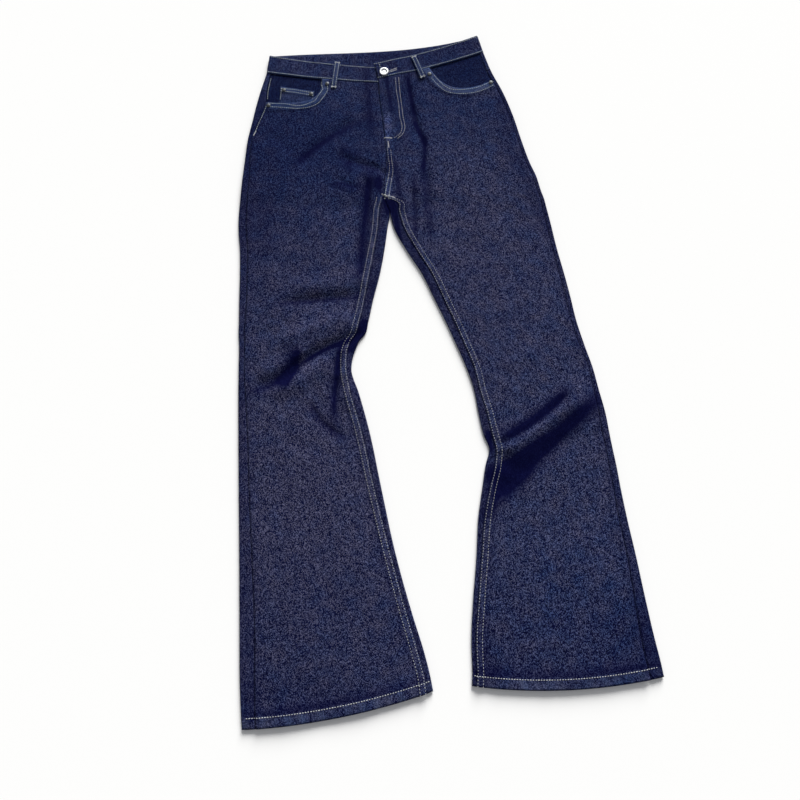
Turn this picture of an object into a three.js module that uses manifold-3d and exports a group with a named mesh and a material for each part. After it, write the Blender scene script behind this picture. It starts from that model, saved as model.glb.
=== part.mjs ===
// Wide leg jeans laid flat with the front up. The waist points to +Y and the wearer's right leg lies
// at -X. Sizes are in millimetres, and the cloth rests on z = 0.
import * as THREE from "three";
import { mergeVertices } from "three/addons/utils/BufferGeometryUtils.js";
import Module from "manifold-3d";

const wasm = await Module();
wasm.setup();

// Driving sizes
const denim = 1.2; // one layer of cloth
const gap = 0.3; // clearance between two pieces that meet
const hemExtra = 0.9; // what the turned-up hem adds to the wall
const bandThickness = 2.4; // the waistband is two layers
const bandHeight = 36;
const bandProud = 1.2; // how far the waistband stands over the panels sewn into it
const underlap = 24; // length of waistband under the buttoned tab
const seatLift = 1.8; // the seat lies on its patch pockets and belt loops
const legEdge = 2.2; // radius of the folded edge of a leg
const seatEdge = 2.7; // radius of the folded edge of the seat
const edgeReach = 30; // how fast the top sheet rises from a folded edge
const edgeFade = 9; // folds die out this close to a folded edge
const tabLift = 2.9; // how far the tab and fly stand over what they cover
const flyLift = 1.4;
const flyWidth = 38;
const fellWidth = 10; // felled seams of the inseam and the rise
const fellRise = 1.1;
const pocketHemWidth = 15; // doubled edge of the front pocket openings
const pocketHemRise = 1.5;
const pocketLap = 17; // how far a pocket facing reaches under the front
const facingAcross = 0.68; // share of the row that a facing may reach
const yokeAtSide = 38;
const yokeAtCentre = 72;
const backSeam = { centreX: -95, sag: 12, skew: 20 }; // the back waist seam, from side to side
const loopWidth = 10.5;
const loopThickness = 1.5;

const crotchY = 248; // where the four panels meet
const forkY = 220; // where the legs part
const seatFoldY = 196; // below this the inner edges of the legs are closed folds
const seatFrom = { low: 226, high: 262 }; // between these the legs' underside rises to the seat's
const flyFoot = { low: 352, high: 372 }; // the fly ends between these
const rowSteps = { hip: 17, thigh: 24, knee: 17, shin: 34 }; // spacing of the rows of the grid

// One row for each station of a leg, from the waist seam to the hem: the outer edge, the inner edge
// (centre front down to the crotch, centre back to the fork, then the inside of the leg), the sag of
// the row between them, and how far in the outseam and the inseam lie.
const stationColumns = ["outX", "outY", "inX", "inY", "sag", "outseam", "inseam"];
const rightLegRows = [
  [-296, 501, -89, 479, 3, 8, 0],
  [-305, 463, -87, 447, 2, 12, 0],
  [-311, 432, -83, 420, 2, 17, 0],
  [-316, 400, -80, 393, 1, 12, 0],
  [-322, 363, -77, 361, 0, 8, 0],
  [-325, 314, -73, 316, 0, 9, 0],
  [-327, 280, -76, 282, 0, 12, 0],
  [-328, 250, -79, 248, 0, 12, 1.5],
  [-329, 222, -68, 220, 0, 13, 17],
  [-328, 190, -71, 189, 0, 13, 16],
  [-323, 150, -76, 149, 0, 13, 17],
  [-320, 107, -83, 107, 0, 12, 17],
  [-318, 60, -94, 60, 0, 12, 14],
  [-316, 20, -102, 20, 0, 10, 14],
  [-315, -3, -108, -3, 0, 9, 15],
  [-314, -11, -115, -11, 0, 9, 14],
  [-313, -22, -120, -22, 0, 9, 13],
  [-311, -62, -128, -62, 0, 9, 7],
  [-309, -98, -116, -98, 0, 11, 12],
  [-305, -158, -99, -156, 0, 14, 12],
  [-298, -255, -78, -250, 1, 16, 10],
  [-291, -350, -58, -338, 3, 19, 7],
  [-284, -450, -33, -425, 5, 22, 7],
  [-279, -520, -14, -483, 7, 21, 8],
  [-274, -567, -5, -518, 9, 20, 8],
  [-272, -582, -2, -533, 9, 20, 9],
];
const leftLegRows = [
  [106, 547, -89, 486, 4, 7, 0],
  [120, 504, -87, 452, 3, 8, 0],
  [138, 463, -83, 422, 3, 8, 0],
  [155, 412, -80, 388, 2, 7, 0],
  [168, 360, -76, 350, 1, 7, 0],
  [181, 314, -73, 312, 1, 7, 0],
  [190, 290, -75, 286, 0, 7, 0],
  [198, 257, -79, 248, 0, 7, 1.5],
  [201, 248, -76, 240, 0, 7, 17],
  [206, 224, -68, 220, 0, 8, 16],
  [211, 196, -61, 192, 0, 8, 17],
  [218, 153, -39, 149, 0, 8, 17],
  [227, 109, -13, 106, 0, 9, 16],
  [235, 66, 7, 62, 0, 9, 15],
  [242, 23, 26, 20, 0, 9, 14],
  [252, -18, 42, -18, 0, 9, 13],
  [263, -58, 58, -58, 0, 7, 12],
  [270, -95, 69, -95, 0, 9, 9],
  [277, -130, 75, -132, 0, 11, 13],
  [281, -165, 82, -167, 0, 12, 13],
  [284, -190, 90, -190, 0, 11, 10],
  [287, -212, 84, -212, 0, 12, 14],
  [291, -250, 77, -250, 0, 12, 11],
  [296, -290, 70, -290, 1, 13, 9],
  [305, -350, 65, -350, 3, 14, 7],
  [313, -410, 58, -413, 5, 17, 7],
  [320, -458, 54, -464, 8, 20, 6],
  [327, -499, 54, -511, 11, 21, 6],
  [329, -514, 53, -526, 11, 20, 6],
];

// Centre front, one curve for both fronts.
const centreFrontColumns = ["y", "x"];
const centreFrontRows = [
  [486, -89],
  [450, -87],
  [410, -82],
  [365, -77],
  [316, -73],
  [282, -76],
  [248, -79],
];

// How far the top sheet stands over its folded edges, along the garment.
const puffColumns = ["y", "puff"];
const puffRows = [
  [540, 0.9],
  [262, 0.9],
  [226, 1.9],
  [-480, 1.9],
  [-580, 1.2],
];

// The largest folds: soft ridges, or troughs where rise is negative. Each runs from one end to the
// other with a sideways bend, and falls away over before on its left and after on its right.
const foldColumns = ["fromX", "fromY", "toX", "toY", "bend", "rise", "before", "after"];
const foldRows = [
  [-98, 76, -262, 56, 6, -2.4, 14, 10],
  [-96, 98, -250, 84, 4, 3, 16, 16],
  [-92, 6, -232, -66, -8, -3.6, 11, 10],
  [-210, -46, -292, -94, 6, -2.6, 12, 12],
  [-116, 30, -262, -26, -6, 5, 20, 15],
  [-150, -50, -262, -104, 0, 3.8, 15, 20],
  [-152, -26, -152, -128, -4, -3, 10, 10],
  [-130, -36, -130, -140, -4, 2.4, 14, 14],
  [-194, -106, -124, -168, 8, -2.2, 11, 11],
  [92, -184, 262, -76, 0, 7.5, 12, 34],
  [100, -176, 246, -84, 0, -3.4, 8, 8],
  [84, -226, 262, -118, 8, -2.8, 34, 16],
  [-236, 300, -112, 412, 10, -1.6, 14, 14],
  [-166, 326, -70, 298, -6, -1.8, 12, 10],
  [-108, 288, -122, 96, 4, -2.4, 12, 12],
  [-26, 440, -6, 290, -8, -1.9, 12, 12],
  [-6, 300, 6, 216, 0, -1.8, 12, 12],
  [-26, 268, -28, 176, 0, -1.8, 9, 9],
];
const foldEnds = { rises: 0.18, falls: 0.72 }; // shares of a fold's length

// Front pocket openings: a curve from the waist seam to the outseam, and the corner it cuts off.
const rightOpening = { from: [-193, 490], bendA: [-190, 440], bendB: [-215, 432], to: [-294, 437] };
const leftOpening = { from: [4, 512], bendA: [28, 466], bendB: [62, 450], to: [126, 488] };
const openingReach = 60; // the cutter runs this far past the panel's own edges
// The coin pocket's top edge, and its lower corners, which lie just under the front.
const coinCorners = [
  [-268, 470],
  [-206, 460],
  [-207, 441],
  [-224, 433],
  [-270, 432],
];

// Belt loops on the front of the waistband: the middle of each end.
const frontLoops = [
  { side: "right", top: [-165, 524], bottom: [-171, 467] },
  { side: "left", top: [-25, 536], bottom: [-7, 488] },
];
const backLoops = [
  { side: "back_right", x: -215 },
  { side: "back_centre", x: -95 },
  { side: "back_left", x: 30 },
];
const backLoopLength = 52;

// Patch pockets under the seat: the middle and the turn of each.
const backPockets = [
  { side: "right", x: -198, y: 349, turn: -0.105 },
  { side: "left", x: 50, y: 379, turn: 0.31 },
];
const patch = { topWidth: 150, bottomWidth: 132, sideHeight: 134, point: 22, corner: 12 };

const buttonPlace = [-79, 500];
const buttonRadius = 8.5;
const rivetRadius = 3.8;
const rivets = [
  { name: "rivet_right_waist", at: [-183, 476] },
  { name: "rivet_right_side", at: [-288, 430] },
  { name: "rivet_left_waist", at: [4.5, 497] },
  { name: "rivet_left_side", at: [117, 479] },
];
const coinRivets = [
  { name: "rivet_coin_outer", at: [-262, 463] },
  { name: "rivet_coin_inner", at: [-211.5, 455] },
];

const indigo = 0x1f2a4c;
const indigoDark = 0x121a38;
const steel = 0xb9bcc2;

// Small tools

function table(columns, rows) {
  return rows.map((row) => Object.fromEntries(columns.map((name, k) => [name, row[k]])));
}

function mix(a, b, t) {
  return a + (b - a) * t;
}

function smoothstep(from, to, x) {
  const t = Math.min(1, Math.max(0, (x - from) / (to - from)));
  return t * t * (3 - 2 * t);
}

// Slope of each column at each row, for a smooth curve through rows at uneven places.
function slopesOf(places, values) {
  const rises = places.slice(1).map((p, k) => (values[k + 1] - values[k]) / (p - places[k]));
  return places.map((p, k) => {
    if (k === 0) return rises[0];
    if (k === places.length - 1) return rises[k - 1];
    const before = p - places[k - 1];
    const after = places[k + 1] - p;
    return (rises[k - 1] * after + rises[k] * before) / (before + after);
  });
}

function curveValue(places, values, slopes, k, t) {
  const span = places[k + 1] - places[k];
  const t2 = t * t;
  const t3 = t2 * t;
  return (
    (2 * t3 - 3 * t2 + 1) * values[k] +
    (t3 - 2 * t2 + t) * span * slopes[k] +
    (3 * t2 - 2 * t3) * values[k + 1] +
    (t3 - t2) * span * slopes[k + 1]
  );
}

// A leg is its stations, each column as a smooth curve over the distance down from the waist.
function makeLeg(side, rows, outward, opening) {
  const stations = table(stationColumns, rows);
  const places = stations.map((station) => stations[0].outY - station.outY);
  const columns = {};
  for (const name of stationColumns) {
    const values = stations.map((station) => station[name]);
    columns[name] = { values, slopes: slopesOf(places, values) };
  }
  return {
    side,
    outward,
    opening,
    places,
    columns,
    last: stations.length - 1,
    crotch: stations.findIndex((station) => station.inY === crotchY),
    fork: stations.findIndex((station) => station.inY === forkY),
  };
}

const rightLeg = makeLeg("right", rightLegRows, -1, rightOpening);
const leftLeg = makeLeg("left", leftLegRows, 1, leftOpening);
const puffTable = table(puffColumns, puffRows);
const folds = table(foldColumns, foldRows);
const centreFront = table(centreFrontColumns, centreFrontRows);
const centreDrops = centreFront.map((row) => centreFront[0].y - row.y);
const centreXs = centreFront.map((row) => row.x);
const centreSlopes = slopesOf(centreDrops, centreXs);

function centreFrontX(y) {
  const drop = centreFront[0].y - y;
  const k = Math.max(0, Math.min(centreDrops.findLastIndex((d) => d <= drop), centreFront.length - 2));
  const t = (drop - centreDrops[k]) / (centreDrops[k + 1] - centreDrops[k]);
  return curveValue(centreDrops, centreXs, centreSlopes, k, t);
}

// The station of a leg at a place counted in rows.
function stationAt(leg, place) {
  const k = Math.max(0, Math.min(Math.floor(place), leg.last - 1));
  const t = place - k;
  const station = {};
  for (const name of stationColumns) {
    const { values, slopes } = leg.columns[name];
    station[name] = curveValue(leg.places, values, slopes, k, t);
  }
  if (place <= leg.crotch) station.inX = centreFrontX(station.inY);
  if (place <= leg.crotch - 1) station.inseam = 0;
  // The centre back climbs straight from the fork to the crotch.
  if (place > leg.crotch && place < leg.fork) {
    const { values } = leg.columns.inX;
    const climbed = (station.inY - forkY) / (crotchY - forkY);
    station.inX = mix(values[leg.fork], values[leg.crotch], climbed);
  }
  station.inseam = Math.max(0, station.inseam);
  station.width = Math.hypot(station.inX - station.outX, station.inY - station.outY);
  return station;
}

// A point of the flat plan: across is 0 at the outer edge and 1 at the inner edge.
function planPoint(station, across) {
  return {
    x: mix(station.outX, station.inX, across),
    y: mix(station.outY, station.inY, across) - station.sag * 4 * across * (1 - across),
  };
}

function lift(y) {
  return seatLift * smoothstep(seatFrom.low, seatFrom.high, y);
}

function edgeRadius(y) {
  return mix(legEdge, seatEdge, smoothstep(seatFrom.low, seatFrom.high, y));
}

function puffAt(y) {
  const k = puffTable.findIndex((row) => row.y <= y);
  if (k === 0) return puffTable[0].puff;
  if (k < 0) return puffTable.at(-1).puff;
  const above = puffTable[k - 1];
  const below = puffTable[k];
  return mix(below.puff, above.puff, smoothstep(below.y, above.y, y));
}

function foldHeight(x, y) {
  let sum = 0;
  for (const fold of folds) {
    const length = Math.hypot(fold.toX - fold.fromX, fold.toY - fold.fromY);
    const alongX = (fold.toX - fold.fromX) / length;
    const alongY = (fold.toY - fold.fromY) / length;
    const t = ((x - fold.fromX) * alongX + (y - fold.fromY) * alongY) / length;
    if (t <= 0 || t >= 1) continue;
    const offset =
      (y - fold.fromY) * alongX - (x - fold.fromX) * alongY - fold.bend * 4 * t * (1 - t);
    const width = offset > 0 ? fold.before : fold.after;
    const ends = smoothstep(0, foldEnds.rises, t) * smoothstep(1, foldEnds.falls, t);
    sum += fold.rise * ends * Math.exp(-((offset / width) ** 2));
  }
  return sum;
}

// Height of the top sheet: it rises from the folded edges, the folds lie over that, and where it is
// lowest it lies on the back panel.
function topLevel(station, across) {
  const { x, y } = planPoint(station, across);
  const radius = edgeRadius(y);
  const fromOuter = Math.max(0, across * station.width - radius);
  const fromInner = Math.max(0, (1 - across) * station.width - radius);
  const closed = smoothstep(crotchY, seatFoldY, y);
  const outer = 1 - Math.exp(-fromOuter / edgeReach);
  const inner = 1 - closed * Math.exp(-fromInner / edgeReach);
  const fade = smoothstep(0, edgeFade, fromOuter) * mix(1, smoothstep(0, edgeFade, fromInner), closed);
  const height = 2 * radius + puffAt(y) * outer * inner + foldHeight(x, y) * fade;
  return lift(y) + Math.max(2 * denim + gap, height);
}

// Place and height of the top sheet over a point of the plan.
function findOnLeg(leg, x, y) {
  let low = -1;
  let high = leg.last;
  let place = 0;
  let across = 0;
  for (let step = 0; step < 40; step++) {
    place = (low + high) / 2;
    const station = stationAt(leg, place);
    across = (x - station.outX) / (station.inX - station.outX);
    if (planPoint(station, across).y > y) low = place;
    else high = place;
  }
  return { place, across, station: stationAt(leg, place) };
}

// Places of the rows between two stations, closer where the cloth folds more.
function rowPlaces(leg, from, to) {
  const places = [from];
  for (let k = from; k < to; k++) {
    const y = leg.columns.outY.values[k];
    const span = leg.places[k + 1] - leg.places[k];
    let step = rowSteps.shin;
    if (y >= -200) step = rowSteps.knee;
    if (y >= 70) step = rowSteps.thigh;
    if (y > 250) step = rowSteps.hip;
    const count = Math.max(1, Math.round(span / step));
    for (let part = 1; part <= count; part++) places.push(k + part / count);
  }
  return places;
}

// Solids

function meshOf(name, geometry, color, roughness = 0.9, metalness = 0) {
  geometry.computeVertexNormals();
  const mesh = new THREE.Mesh(
    geometry,
    new THREE.MeshStandardMaterial({ color, roughness, metalness }),
  );
  mesh.name = name;
  return mesh;
}

// A cloth wall over a grid of outer points: its inner side lies one thickness below, and every free
// edge is closed. hasCell leaves cells out, so that a grid can be L-shaped.
function clothWall({ rows, columns, point, thickness, flip = false, hasCell = () => true }) {
  const outer = [];
  for (let i = 0; i < rows; i++)
    for (let j = 0; j < columns; j++) outer.push(new THREE.Vector3(...point(i, j)));
  const at = (i, j) => i * columns + j;
  const cells = [];
  const isCell = (i, j) => i >= 0 && j >= 0 && i < rows - 1 && j < columns - 1 && hasCell(i, j);
  for (let i = 0; i < rows - 1; i++)
    for (let j = 0; j < columns - 1; j++) if (isCell(i, j)) cells.push([i, j]);

  const normals = outer.map(() => new THREE.Vector3());
  for (const [i, j] of cells) {
    const corners = [at(i, j), at(i + 1, j), at(i + 1, j + 1), at(i, j + 1)];
    const diagonal = outer[corners[2]].clone().sub(outer[corners[0]]);
    const other = outer[corners[3]].clone().sub(outer[corners[1]]);
    const normal = diagonal.cross(other).normalize();
    if (flip) normal.negate();
    for (const corner of corners) normals[corner].add(normal);
  }

  const positions = [];
  for (const vertex of outer) positions.push(vertex.x, vertex.y, vertex.z);
  outer.forEach((vertex, k) => {
    const depth = thickness(Math.floor(k / columns), k % columns);
    const inner = vertex.clone().addScaledVector(normals[k].normalize(), -depth);
    positions.push(inner.x, inner.y, inner.z);
  });

  const index = [];
  const below = outer.length;
  const quad = (a, b, c, d) => {
    if (flip) index.push(a, c, b, a, d, c);
    else index.push(a, b, c, a, c, d);
  };
  const rim = (a, b) => quad(a, a + below, b + below, b);
  for (const [i, j] of cells) {
    const a = at(i, j);
    const b = at(i + 1, j);
    const c = at(i + 1, j + 1);
    const d = at(i, j + 1);
    quad(a, b, c, d);
    quad(a + below, d + below, c + below, b + below);
    if (!isCell(i, j - 1)) rim(a, b);
    if (!isCell(i + 1, j)) rim(b, c);
    if (!isCell(i, j + 1)) rim(c, d);
    if (!isCell(i - 1, j)) rim(d, a);
  }

  // Corners that no cell uses are dropped.
  const used = [...new Set(index)].sort((a, b) => a - b);
  const renumber = new Map(used.map((old, k) => [old, k]));
  const kept = used.flatMap((old) => positions.slice(3 * old, 3 * old + 3));
  const geometry = new THREE.BufferGeometry();
  geometry.setAttribute("position", new THREE.Float32BufferAttribute(kept, 3));
  geometry.setIndex(index.map((old) => renumber.get(old)));
  return geometry;
}

function toSolid(geometry) {
  const bare = geometry.clone();
  bare.deleteAttribute("normal");
  bare.deleteAttribute("uv");
  const merged = mergeVertices(bare, 1e-4);
  return new wasm.Manifold(
    new wasm.Mesh({
      numProp: 3,
      vertProperties: new Float32Array(merged.attributes.position.array),
      triVerts: new Uint32Array(merged.index.array),
    }),
  );
}

function fromSolid(solid) {
  const mesh = solid.getMesh();
  const geometry = new THREE.BufferGeometry();
  geometry.setAttribute("position", new THREE.Float32BufferAttribute(mesh.vertProperties, 3));
  geometry.setIndex(new THREE.BufferAttribute(new Uint32Array(mesh.triVerts), 1));
  return geometry;
}

// A tall prism over an outline of the plan, to cut with.
function prism(shape, segments = 12) {
  return toSolid(
    new THREE.ExtrudeGeometry(shape, { depth: 60, bevelEnabled: false, curveSegments: segments }),
  );
}

// The area that a front pocket opening takes out of the panel, grown by a margin.
function openingShape(leg, grow) {
  const { from, bendA, bendB, to } = leg.opening;
  const inwards = -leg.outward;
  const side = leg.outward * openingReach;
  const shape = new THREE.Shape();
  shape.moveTo(from[0] + inwards * grow, from[1] + openingReach);
  shape.lineTo(from[0] + inwards * grow, from[1]);
  shape.bezierCurveTo(
    bendA[0] + inwards * grow,
    bendA[1] - grow * 0.7,
    bendB[0] + inwards * grow * 0.7,
    bendB[1] - grow,
    to[0],
    to[1] - grow,
  );
  shape.lineTo(to[0] + side, to[1] - grow);
  shape.lineTo(to[0] + side, from[1] + openingReach);
  return shape;
}

function openingCurve(leg) {
  const { from, bendA, bendB, to } = leg.opening;
  const corners = [from, bendA, bendB, to].map((corner) => new THREE.Vector2(...corner));
  return new THREE.CubicBezierCurve(...corners).getPoints(24);
}

// The doubled edge round a pocket opening.
function pocketHem(curve, x, y) {
  const nearest = Math.min(...curve.map((point) => Math.hypot(point.x - x, point.y - y)));
  return pocketHemRise * smoothstep(pocketHemWidth + 7, pocketHemWidth, nearest);
}

// How far the left front stands over the right one, by its distance from the centre front.
function flyOverlap(y, fromCentre) {
  const atWaist = smoothstep(440, 478, y);
  const height = mix(flyLift, tabLift, atWaist);
  const width = mix(flyWidth - 6, flyWidth, atWaist);
  const above = smoothstep(flyFoot.low, flyFoot.high, y);
  return height * above * smoothstep(width + mix(8, 40, atWaist), width, fromCentre);
}

// The felled rise seam below the fly.
function riseFell(y, fromCentre) {
  const belowFly = smoothstep(flyFoot.high, flyFoot.low, y);
  const between = belowFly * smoothstep(crotchY - 6, crotchY + 4, y);
  return fellRise * between * smoothstep(fellWidth + 3, fellWidth, fromCentre);
}

// Share of the turned-up hem at a place of the leg.
function hemShare(leg, place) {
  return smoothstep(leg.last - 1.4, leg.last - 1, place);
}

// Front panels

// Where the columns of a front panel lie between its two seams.
const frontSpread = [0, 0.035, 0.1, 0.21, 0.34, 0.48, 0.62, 0.75, 0.86, 0.945, 1];

function frontHeight(leg, station, across, place, curve) {
  const { x, y } = planPoint(station, across);
  const fromCentre = (1 - across) * station.width;
  const fromInseam = fromCentre - station.inseam;
  const belowCrotch = smoothstep(crotchY, crotchY - 16, y);
  let height = topLevel(station, across);
  height += fellRise * belowCrotch * smoothstep(fellWidth + 4, fellWidth, fromInseam);
  height += hemExtra * hemShare(leg, place);
  height += pocketHem(curve, x, y);
  if (leg === leftLeg) height += flyOverlap(y, fromCentre) + riseFell(y, fromCentre);
  return height;
}

function frontPanel(leg) {
  const places = rowPlaces(leg, 0, leg.last);
  const curve = openingCurve(leg);
  const stations = places.map((place) => stationAt(leg, place));
  const sheet = clothWall({
    rows: places.length,
    columns: frontSpread.length,
    flip: leg === leftLeg,
    thickness: (i) => denim + hemExtra * hemShare(leg, places[i]),
    point: (i, j) => {
      const station = stations[i];
      const start = (station.outseam + gap / 2) / station.width;
      const end = 1 - (station.inseam + gap / 2) / station.width;
      const across = mix(start, end, frontSpread[j]);
      const { x, y } = planPoint(station, across);
      return [x, y, frontHeight(leg, station, across, places[i], curve)];
    },
  });
  const cut = toSolid(sheet).subtract(prism(openingShape(leg, 0)));
  return meshOf("front_" + leg.side, fromSolid(cut), indigo);
}

// A sheet just under the front beside its pocket opening, cut to an outline.
function underFront(leg, depth, shape, deepest) {
  const last = findOnLeg(leg, leg.opening.bendB[0], deepest).place;
  const rows = 9;
  const columns = 9;
  const sheet = clothWall({
    rows,
    columns,
    flip: leg === leftLeg,
    thickness: () => denim,
    point: (i, j) => {
      const station = stationAt(leg, (i / (rows - 1)) * last);
      const start = (station.outseam + gap / 2) / station.width;
      const across = mix(start, facingAcross, j / (columns - 1));
      const { x, y } = planPoint(station, across);
      return [x, y, topLevel(station, across) - depth];
    },
  });
  return fromSolid(toSolid(sheet).intersect(prism(shape)));
}

function pocketFacing(leg) {
  const shape = openingShape(leg, pocketLap);
  const sheet = underFront(leg, denim + gap, shape, leg.opening.to[1] - pocketLap - 14);
  return meshOf("pocket_facing_" + leg.side, sheet, indigoDark);
}

// The coin pocket lies on the facing, level with the front round it.
function coinPocket() {
  const shape = new THREE.Shape(coinCorners.map((corner) => new THREE.Vector2(...corner)));
  const sheet = toSolid(underFront(rightLeg, 0, shape, 420));
  const inOpening = sheet.intersect(prism(openingShape(rightLeg, -gap)));
  return meshOf("coin_pocket", fromSolid(inOpening), indigo);
}

// Back panels, which wrap round both edges of the leg to the seams on top

// The back waist seam over the plan, from side to side.
function backSeamY(x) {
  const [rightX, rightY] = rightLegRows[0];
  const [leftX, leftY] = leftLegRows[0];
  const t = (x - rightX) / (leftX - rightX);
  return mix(rightY, leftY, t) - 4 * t * (1 - t) * (backSeam.sag + backSeam.skew * (t - 0.5));
}

// How far the back waist seam bows off the straight line across one leg's half of it.
function backBow(leg, x) {
  const sideX = leg.columns.outX.values[0] - leg.outward * seatEdge;
  const t = (x - sideX) / (backSeam.centreX - sideX);
  return backSeamY(x) - mix(backSeamY(sideX), backSeamY(backSeam.centreX), t);
}

// The centre back seam on the underside, and how far down to the fork it is.
function centreBackPoint(leg, station) {
  const from = leg.columns.inY.values[0];
  const down = (from - station.inY) / (from - forkY);
  return {
    x: mix(backSeam.centreX, leg.columns.inX.values[leg.fork], down) + leg.outward * (gap / 2),
    y: mix(backSeamY(backSeam.centreX), forkY, down),
    down,
  };
}

// Parts of a row of the back panel, in cells: top margin, outer fold, underside, inner fold, margin.
const backCells = { margin: 2, fold: 4, under: 5 };
const underStart = backCells.margin + backCells.fold;
const underEnd = underStart + backCells.under;
const innerTop = underEnd + backCells.fold;
const backColumns = innerTop + backCells.margin + 1;
const belowYoke = 3; // the station where the rows under the slanting yoke seam are level again

function backPoint(leg, place, j) {
  const station = stationAt(leg, place);
  const alongX = (station.inX - station.outX) / station.width;
  const alongY = (station.inY - station.outY) / station.width;
  const outerTop = topLevel(station, 0);
  const ground = lift(station.outY);
  const outerRadius = (outerTop - ground) / 2;
  const outerX = station.outX + alongX * outerRadius;
  const outerY = station.outY + alongY * outerRadius;

  if (j <= backCells.margin) {
    const seam = station.outseam - gap / 2;
    const across = mix(seam, outerRadius, j / backCells.margin) / station.width;
    const { x, y } = planPoint(station, across);
    return [x, y, topLevel(station, across)];
  }
  if (j <= underStart) {
    const turn = (Math.PI * (j - backCells.margin)) / backCells.fold;
    const reach = outerRadius * Math.sin(turn);
    const z = ground + outerRadius * (1 + Math.cos(turn));
    return [outerX - alongX * reach, outerY - alongY * reach, z];
  }

  const innerTopLevel = topLevel(station, 1);
  const innerGround = lift(station.inY);
  const innerRadius = (innerTopLevel - innerGround) / 2;
  // At the fork the fold faces down the garment, and soon turns to face the other leg.
  const turned = (Math.PI / 2) * smoothstep(forkY, forkY - 22, station.inY);
  const faceX = -leg.outward * Math.sin(turned);
  const faceY = -Math.cos(turned);
  const apart = leg.outward * (gap / 2);
  const innerX = station.inX + apart - faceX * innerRadius;
  const innerY = station.inY - faceY * innerRadius;
  const parted = place >= leg.fork;

  if (j <= underEnd) {
    const t = (j - underStart) / backCells.under;
    const end = parted ? { x: innerX, y: innerY } : centreBackPoint(leg, station);
    const x = mix(outerX, end.x, t);
    const bow = parted ? -station.sag * 4 * t * (1 - t) : backBow(leg, x) * (1 - end.down);
    const y = mix(outerY, end.y, t) + bow;
    return [x, y, lift(y)];
  }
  if (j < innerTop) {
    const turn = (Math.PI * (j - underEnd)) / backCells.fold;
    const reach = innerRadius * Math.sin(turn);
    const z = innerGround + innerRadius * (1 - Math.cos(turn));
    return [innerX + faceX * reach, innerY + faceY * reach, z];
  }
  const t = (j - innerTop) / backCells.margin;
  const seamAcross = 1 - (station.inseam - gap / 2) / station.width;
  const seam = planPoint(station, seamAcross);
  const startX = parted ? innerX : station.inX + 2 * apart;
  const startY = parted ? innerY : station.inY;
  const startAcross = parted ? 1 - innerRadius / station.width : 1;
  const level = topLevel(station, mix(startAcross, seamAcross, t));
  return [mix(startX, seam.x, t), mix(startY, seam.y, t), level];
}

// Place of the yoke seam in each column: it drops from the outseam to the centre back.
function yokePlace(leg, j) {
  const t = Math.min(1, Math.max(0, (j - underStart) / backCells.under));
  const drop = mix(yokeAtSide, yokeAtCentre, t);
  const from = leg.columns.outY.values[0];
  let place = 0;
  while (from - stationAt(leg, place).outY < drop) place += 0.02;
  return place;
}

function backPanel(leg) {
  const places = [...rowPlaces(leg, 0, leg.crotch), ...rowPlaces(leg, leg.crotch, leg.last).slice(1)];
  const crotchRow = places.indexOf(leg.crotch);
  const forkRow = places.indexOf(leg.fork);
  const starts = Array.from({ length: backColumns }, (_, j) => yokePlace(leg, j) + 0.02);
  const wall = clothWall({
    rows: places.length,
    columns: backColumns,
    flip: leg === rightLeg,
    thickness: (i) => denim + hemExtra * hemShare(leg, places[i]),
    hasCell: (i, j) => j < underEnd || i >= forkRow || (j >= innerTop && i >= crotchRow),
    point: (i, j) => {
      const place = places[i];
      const moved = place < belowYoke ? mix(starts[j], belowYoke, place / belowYoke) : place;
      return backPoint(leg, moved, j);
    },
  });
  return meshOf("back_" + leg.side, wall, indigo);
}

function yoke(leg) {
  const rows = 4;
  const wall = clothWall({
    rows,
    columns: underEnd + 1,
    flip: leg === rightLeg,
    thickness: () => denim,
    point: (i, j) => backPoint(leg, (i / (rows - 1)) * (yokePlace(leg, j) - 0.01), j),
  });
  return meshOf("yoke_" + leg.side, wall, indigo);
}

// Waistband: one strip from the end under the tab, round the back, to the tab

function bandLevel(leg, station, across) {
  const raised = leg === leftLeg ? flyOverlap(station.inY, (1 - across) * station.width) : 0;
  return topLevel(station, Math.min(1, across)) + bandProud + raised;
}

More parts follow.
